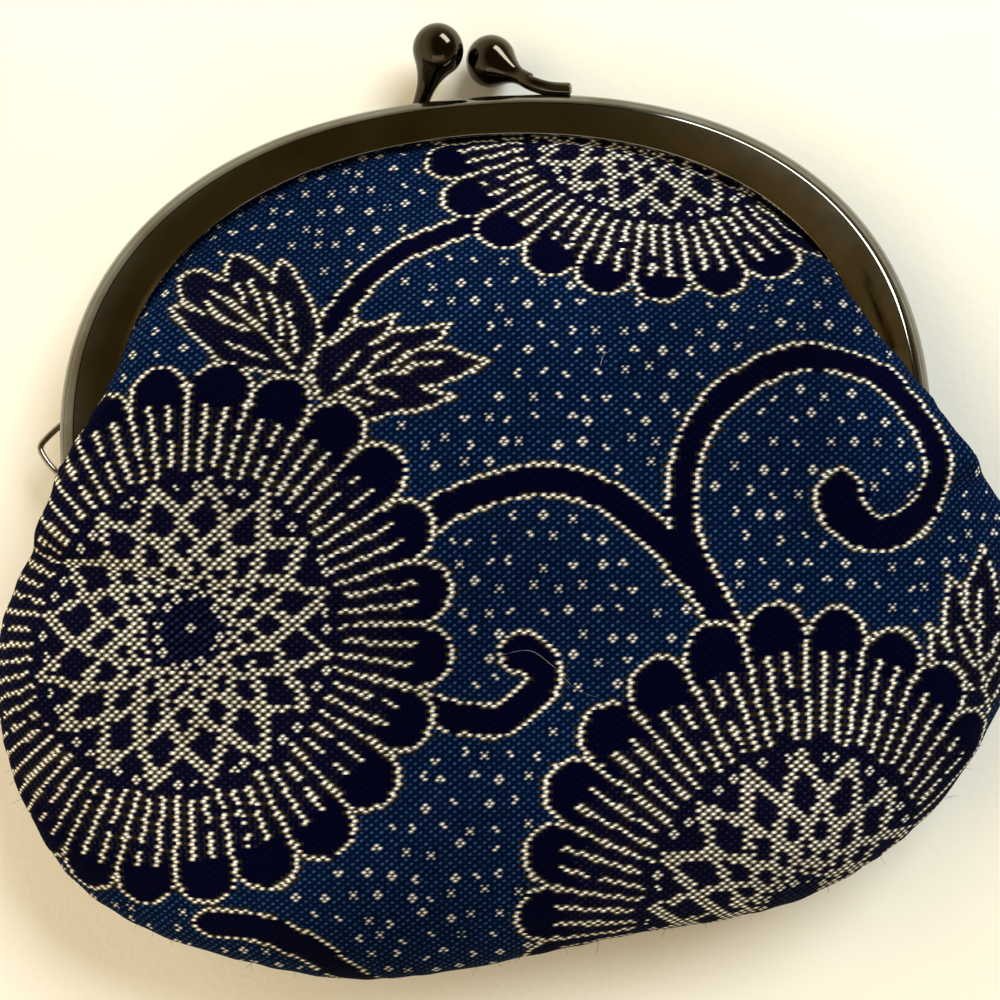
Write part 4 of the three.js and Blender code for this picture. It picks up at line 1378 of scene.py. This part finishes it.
def floor_finish(colour):
    """Plain pale cover with the faintest mottle"""
    finish = Finish("pale_cover")
    where = finish.place()
    mottle = finish.span(finish.noise(where, 45.0, 4.0), 0.3, 0.7, 0.0, 1.0)
    pale = opaque(colour)
    finish.put(finish.shader.inputs["Base Color"],
               finish.blend(mottle, pale, opaque([value * 0.965 for value in colour])))
    finish.put(finish.shader.inputs["Normal"], finish.bump(finish.noise(where, 900.0, 3.0), 0.0003, 0.15))
    finish.shader.inputs["Roughness"].default_value = 0.95
    finish.shader.inputs["Specular IOR Level"].default_value = 0.1
    return finish.material


# Operators


def weave_panel(name, rows_at, bulge, draw, cloth, material):
    """One panel of cloth, a brick-like face for each thread point, with its flat spread and area"""
    side = bulge["side"]
    surface = ClothSurface(rows_at, side, cloth.seed + (0 if side > 0 else 1))
    pitch = (cloth.pitch_across / MM, cloth.pitch_down / MM)
    reach = surface.lengths.max()
    half = [int(math.ceil(reach / step)) + 2 for step in pitch]
    columns, rows = np.arange(-half[0], half[0]), np.arange(-half[1], half[1])
    pattern = Pattern(columns, rows, pitch, cloth.seed)
    draw(pattern)
    looks = pattern.colours(cloth)

    corner_u, corner_v = np.meshgrid(
        (np.arange(columns[0], columns[-1] + 3) - 0.5) * pitch[0],
        np.arange(rows[0], rows[-1] + 2) * pitch[1])
    places, inside = surface.place(corner_u, corner_v, cloth.lay)
    within = inside > 0.2 * min(pitch)
    steps = [(0, 0), (0, 1), (0, 2), (1, 2), (1, 1), (1, 0)]
    count = pattern.u.shape

    def corner(values, dr, dc):
        return values[dr:dr + count[0], dc:dc + count[1]]

    kept = pattern.point & np.any([corner(within, *step) for step in steps], axis=0)
    used = np.zeros(corner_u.shape, bool)
    for step in steps:
        corner(used, *step)[kept] = True
    index = np.full(corner_u.shape, -1)
    index[used] = np.arange(used.sum())
    if side < 0:
        steps = steps[::-1]
    bricks = np.stack([corner(index, *step)[kept] for step in steps], axis=-1)
    piece = new_piece(name, places[used], bricks, material)
    # Painted shade: thread and gap colours darken near the panel's rim, by the seam and inside the frame's
    # channel
    painted_edge_shade = mix(DARKEST_EDGE, 1.0, ramp(corner(inside, 0, 1)[kept], *EDGE_SHADE))[:, None]

    local = np.array([(dc - 1.0, dr - 0.5) for dr, dc in steps])
    weave = local[None, :, :] - looks["nudge"][kept][:, None, :]
    piece.data.uv_layers.new(name="weave").data.foreach_set("uv", weave.astype(np.float32).ravel())
    for label in ("thread", "gap"):
        colours = np.concatenate([looks[label][kept] * painted_edge_shade, np.ones((kept.sum(), 1))], axis=1)
        mark(piece, f"{label}_colour", colours, "FACE", "FLOAT_COLOR", "color")
    mark(piece, "point_size", looks["size"][kept], "FACE")
    mark(piece, "pale", looks["pale"][kept], "FACE")
    solid = piece.modifiers.new("wall", "SOLIDIFY")
    solid.thickness = cloth.wall
    solid.offset = -1.0
    spread = [np.ptp(corner_u[used]) * MM, np.ptp(corner_v[used]) * MM]
    area = 2 * kept.sum() * cloth.pitch_across * cloth.pitch_down
    return piece, spread, float(area)


class PURSE_OT_cloth(bpy.types.Operator):
    """Weaves the front and back panels with their pattern"""
    bl_idname = "purse.cloth"
    bl_label = "Cloth Panels"

    def execute(self, context):
        cloth = context.scene.purse_cloth
        material = cloth_finish(cloth)
        panels = (
            ("front_cloth", "front_panel", front_rows, FRONT_BULGE, front_pattern, ["front_frame"]),
            ("back_cloth", "back_panel", back_rows, BACK_BULGE, back_pattern, ["back_frame"]),
        )
        for name, node, rows_at, bulge, draw, held_by in panels:
            piece, spread, area = weave_panel(name, rows_at, bulge, draw, cloth, material)
            hand_over(piece, "indigo_cloth", node)
        return {"FINISHED"}


def fibre_lines(surface, lay, draws):
    """Routes of the loose fibres: short ones along the seam and a few longer ones on the front"""
    lines = []
    for bearing in draws.uniform(*np.radians(SEAM_BEARINGS), SEAM_FIBRES):
        out = np.array([math.cos(bearing), math.sin(bearing)])
        turns = np.mod(surface.bearings - lay - bearing, 2 * math.pi)
        edge = surface.lengths[int(np.argmin(turns))]
        start = surface.place(*(out * (edge - draws.uniform(0.1, 2.2))), lay)[0]
        turn = bearing + lay + draws.uniform(-1.2, 1.2)
        ahead = np.array([math.cos(turn), math.sin(turn), draws.uniform(-0.2, 0.5)])
        side = np.array([-ahead[1], ahead[0], 0.0]) * draws.uniform(-0.5, 0.5)
        along = np.linspace(0.0, 1.0, 9)[:, None]
        length = draws.uniform(0.5, 1.7)
        lines.append(start + length * (ahead * along + side * along ** 2))
    for route in LONG_FIBRES:
        flat = smooth_route(route, 8)
        line = surface.place(flat[:, 0], flat[:, 1], lay)[0]
        line[:, 2] += FIBRE_LIFT[0] + FIBRE_LIFT[1] * np.sin(np.linspace(0.0, math.pi, len(flat)))
        lines.append(line)
    return lines


class PURSE_OT_fibres(bpy.types.Operator):
    """Lays the loose fibres that stand out of the seam and lie on the cloth"""
    bl_idname = "purse.fibres"
    bl_label = "Loose Fibres"

    def execute(self, context):
        cloth = context.scene.purse_cloth
        surface = ClothSurface(front_rows, 1, cloth.seed)
        shape = Shape()
        for line in fibre_lines(surface, cloth.lay, np.random.default_rng(cloth.seed)):
            shape.tube(line, FIBRE_RADIUS * np.sqrt(np.linspace(1.0, 0.25, len(line))), 5)
        material = fibre_finish(cloth)
        piece = new_piece("loose_fibres", np.vstack(shape.points), shape.faces, material)
        hand_over(piece, "indigo_cloth")
        return {"FINISHED"}


def leg_streak(points):
    """Brown streak down the inner side of the right leg, ending in a spot"""
    start = np.array(STREAK_START)
    step = np.array(STREAK_END) - start
    share = np.clip((points[:, :2] - start) @ step / (step @ step), 0.0, 1.0)
    away = np.linalg.norm(points[:, :2] - start - share[:, None] * step, axis=1)
    return np.exp(-((away / mix(*STREAK_HALF, share)) ** 2)) * ramp(share, 0.0, 0.3)


class PURSE_OT_clasp(bpy.types.Operator):
    """Bends the two halves of the clasp frame and solders on the knobs"""
    bl_idname = "purse.clasp"
    bl_label = "Clasp Frame"

    def execute(self, context):
        clasp = context.scene.purse_clasp
        material = metal_finish("dark_plate", clasp, clasp.plate, clasp.tarnish, PLATE_SHINE)
        front = Shape()
        channel_arch(front, 1, clasp)
        rod = from_frame(even_route(smooth_route(ROD_ROUTE, 12), 48))
        along = np.linspace(0.0, 1.0, len(rod))
        front.tube(rod, ROD_RADIUS * np.sqrt(1 - np.clip(1 - along / 0.05, 0, 0.98) ** 2), 32)
        teardrop(front, RIGHT_TAIL, RIGHT_BALL)
        back = Shape()
        channel_arch(back, -1, clasp)
        teardrop(back, LEFT_FOOT, LEFT_BALL)
        for x in (-FRONT_KNUCKLE_X, FRONT_KNUCKLE_X):
            knuckle(front, 1, x)
        for x in (-BACK_KNUCKLE_X, BACK_KNUCKLE_X):
            knuckle(back, -1, x)
        hand_over(finish_metal(front, "front_clasp", material, leg_streak), "gunmetal", "front_frame")
        hand_over(finish_metal(back, "back_clasp", material), "gunmetal", "back_frame")
        return {"FINISHED"}


class PURSE_OT_hinge_pins(bpy.types.Operator):
    """Turns the two hinge pins with their round heads"""
    bl_idname = "purse.hinge_pins"
    bl_label = "Hinge Pins"

    def execute(self, context):
        clasp = context.scene.purse_clasp
        material = metal_finish("pin_steel", clasp, **PIN_STEEL)
        profile = [(0.02, 0.0)]
        for turn in np.linspace(0.2, math.pi / 2, 6):
            profile.append((PIN_RADIUS * math.sin(turn), PIN_HEAD * (1 - math.cos(turn))))
        profile += [(radius, PIN_LENGTH - along) for radius, along in profile[::-1]]
        middle = (FRONT_KNUCKLE_X + BACK_KNUCKLE_X) / 2
        for name, x in (("left_pin", -middle), ("right_pin", middle)):
            shape = Shape()
            foot = from_frame([[x - PIN_LENGTH / 2, KNUCKLE_Y, 0.0]])[0]
            shape.turned(foot, foot + [1.0, 0.0, 0.0], profile, 28)
            piece = finish_metal(shape, name, material)
            hand_over(piece, "pin_steel", name.replace("_pin", "_hinge_pin"))
        return {"FINISHED"}


class PURSE_OT_side_wire(bpy.types.Operator):
    """Bends the wire loop at the left hinge"""
    bl_idname = "purse.side_wire"
    bl_label = "Side Wire"

    def execute(self, context):
        clasp = context.scene.purse_clasp
        material = metal_finish("bright_wire", clasp, **BRIGHT_WIRE)
        route = smooth_route([(x, y, LOOP_DEPTH) for x, y in LOOP_ROUTE], 14)
        route = from_frame(even_route(route, 120))
        shape = Shape()
        shape.tube(route, np.full(len(route), WIRE_RADIUS), 24)
        hand_over(finish_metal(shape, "wire_loop", material), "wire", "side_loop")
        return {"FINISHED"}


def soft_light(name, power, bearing, height, distance, size, colour):
    """Large area light, placed by its bearing and height in degrees round the purse and aimed at it"""
    data = bpy.data.lights.new(name, "AREA")
    data.shape = "RECTANGLE"
    data.size, data.size_y = size
    data.energy = power
    data.color = colour
    light = bpy.data.objects.new(name, data)
    bpy.context.scene.collection.objects.link(light)
    flat = math.cos(math.radians(height)) * distance
    place = Vector((
        flat * math.cos(math.radians(bearing)), flat * math.sin(math.radians(bearing)),
        math.sin(math.radians(height)) * distance))
    light.location = place
    light.rotation_euler = (-place).to_track_quat("-Z", "Y").to_euler()
    return light


class PURSE_OT_stage(bpy.types.Operator):
    """Lays the floor, sets the soft lights and places the camera"""
    bl_idname = "purse.stage"
    bl_label = "Stage"

    def execute(self, context):
        stage = context.scene.purse_stage
        mesh = bpy.data.meshes.new("floor")
        corners = [(x * FLOOR_HALF, y * FLOOR_HALF, 0) for x, y in ((-1, -1), (1, -1), (1, 1), (-1, 1))]
        mesh.from_pydata(corners, [], [(0, 1, 2, 3)])
        mesh.materials.append(floor_finish(stage.floor))
        floor = bpy.data.objects.new("floor", mesh)
        context.scene.collection.objects.link(floor)
        soft_light("window", stage.window_power, **WINDOW)
        lamp = soft_light("lamp", stage.lamp_power, **LAMP)
        lamp.visible_glossy = False
        soft_light("fill", stage.fill_power, **FILL)
        self.room(context)
        data = bpy.data.cameras.new("camera")
        data.lens = stage.lens
        data.sensor_width = SENSOR
        data.clip_start = NEAREST
        camera = bpy.data.objects.new("camera", data)
        camera.location = in_part((*CAMERA_OVER, stage.camera_height / MM))
        camera.rotation_euler = (0.0, 0.0, stage.camera_turn)
        context.scene.collection.objects.link(camera)
        context.scene.camera = camera
        context.scene.view_settings.view_transform = "Standard"
        return {"FINISHED"}

    @staticmethod
    def room(context):
        """Dim olive room overhead, paler towards the horizon and to the left"""
        world = bpy.data.worlds.new("room")
        world.use_nodes = True
        nodes, links = world.node_tree.nodes, world.node_tree.links
        where = nodes.new("ShaderNodeTexCoord")
        height = nodes.new("ShaderNodeVectorMath")
        height.operation = "DOT_PRODUCT"
        height.inputs[1].default_value = ROOM_TILT
        links.new(where.outputs["Generated"], height.inputs[0])
        ramp_node = nodes.new("ShaderNodeValToRGB")
        shades = ramp_node.color_ramp.elements
        shades[0].position, shades[0].color = ROOM_LOW
        shades[1].position, shades[1].color = ROOM_HIGH
        shades.new(ROOM_MIDDLE[0]).color = ROOM_MIDDLE[1]
        links.new(height.outputs["Value"], ramp_node.inputs[0])
        links.new(ramp_node.outputs[0], nodes["Background"].inputs[0])
        nodes["Background"].inputs[1].default_value = 1.0
        context.scene.world = world


class PURSE_PT_panel(bpy.types.Panel):
    """Settings and steps of the purse"""
    bl_label = "Coin Purse"
    bl_idname = "PURSE_PT_panel"
    bl_space_type = "VIEW_3D"
    bl_region_type = "UI"
    bl_category = "Purse"

    def draw(self, context):
        for operator in OPERATORS:
            self.layout.operator(operator.bl_idname)
        for group in GROUPS:
            settings = getattr(context.scene, GROUPS[group])
            for name in group.__annotations__:
                self.layout.prop(settings, name)


GROUPS = {
    PURSE_PG_cloth: "purse_cloth",
    PURSE_PG_clasp: "purse_clasp",
    PURSE_PG_stage: "purse_stage",
}
OPERATORS = (
    PURSE_OT_stage, PURSE_OT_cloth, PURSE_OT_fibres, PURSE_OT_clasp, PURSE_OT_hinge_pins, PURSE_OT_side_wire)


def register():
    for cls in (*GROUPS, *OPERATORS, PURSE_PT_panel):
        bpy.utils.register_class(cls)
    for group, name in GROUPS.items():
        setattr(bpy.types.Scene, name, bpy.props.PointerProperty(type=group))


def unregister():
    for name in GROUPS.values():
        delattr(bpy.types.Scene, name)
    for cls in reversed((*GROUPS, *OPERATORS, PURSE_PT_panel)):
        bpy.utils.unregister_class(cls)


def main():
    register()
    bpy.ops.purse.stage()
    bpy.ops.purse.cloth()
    bpy.ops.purse.fibres()
    bpy.ops.purse.clasp()
    bpy.ops.purse.hinge_pins()
    bpy.ops.purse.side_wire()
    bpy.context.view_layer.update()


if __name__ == "__main__":
    main()
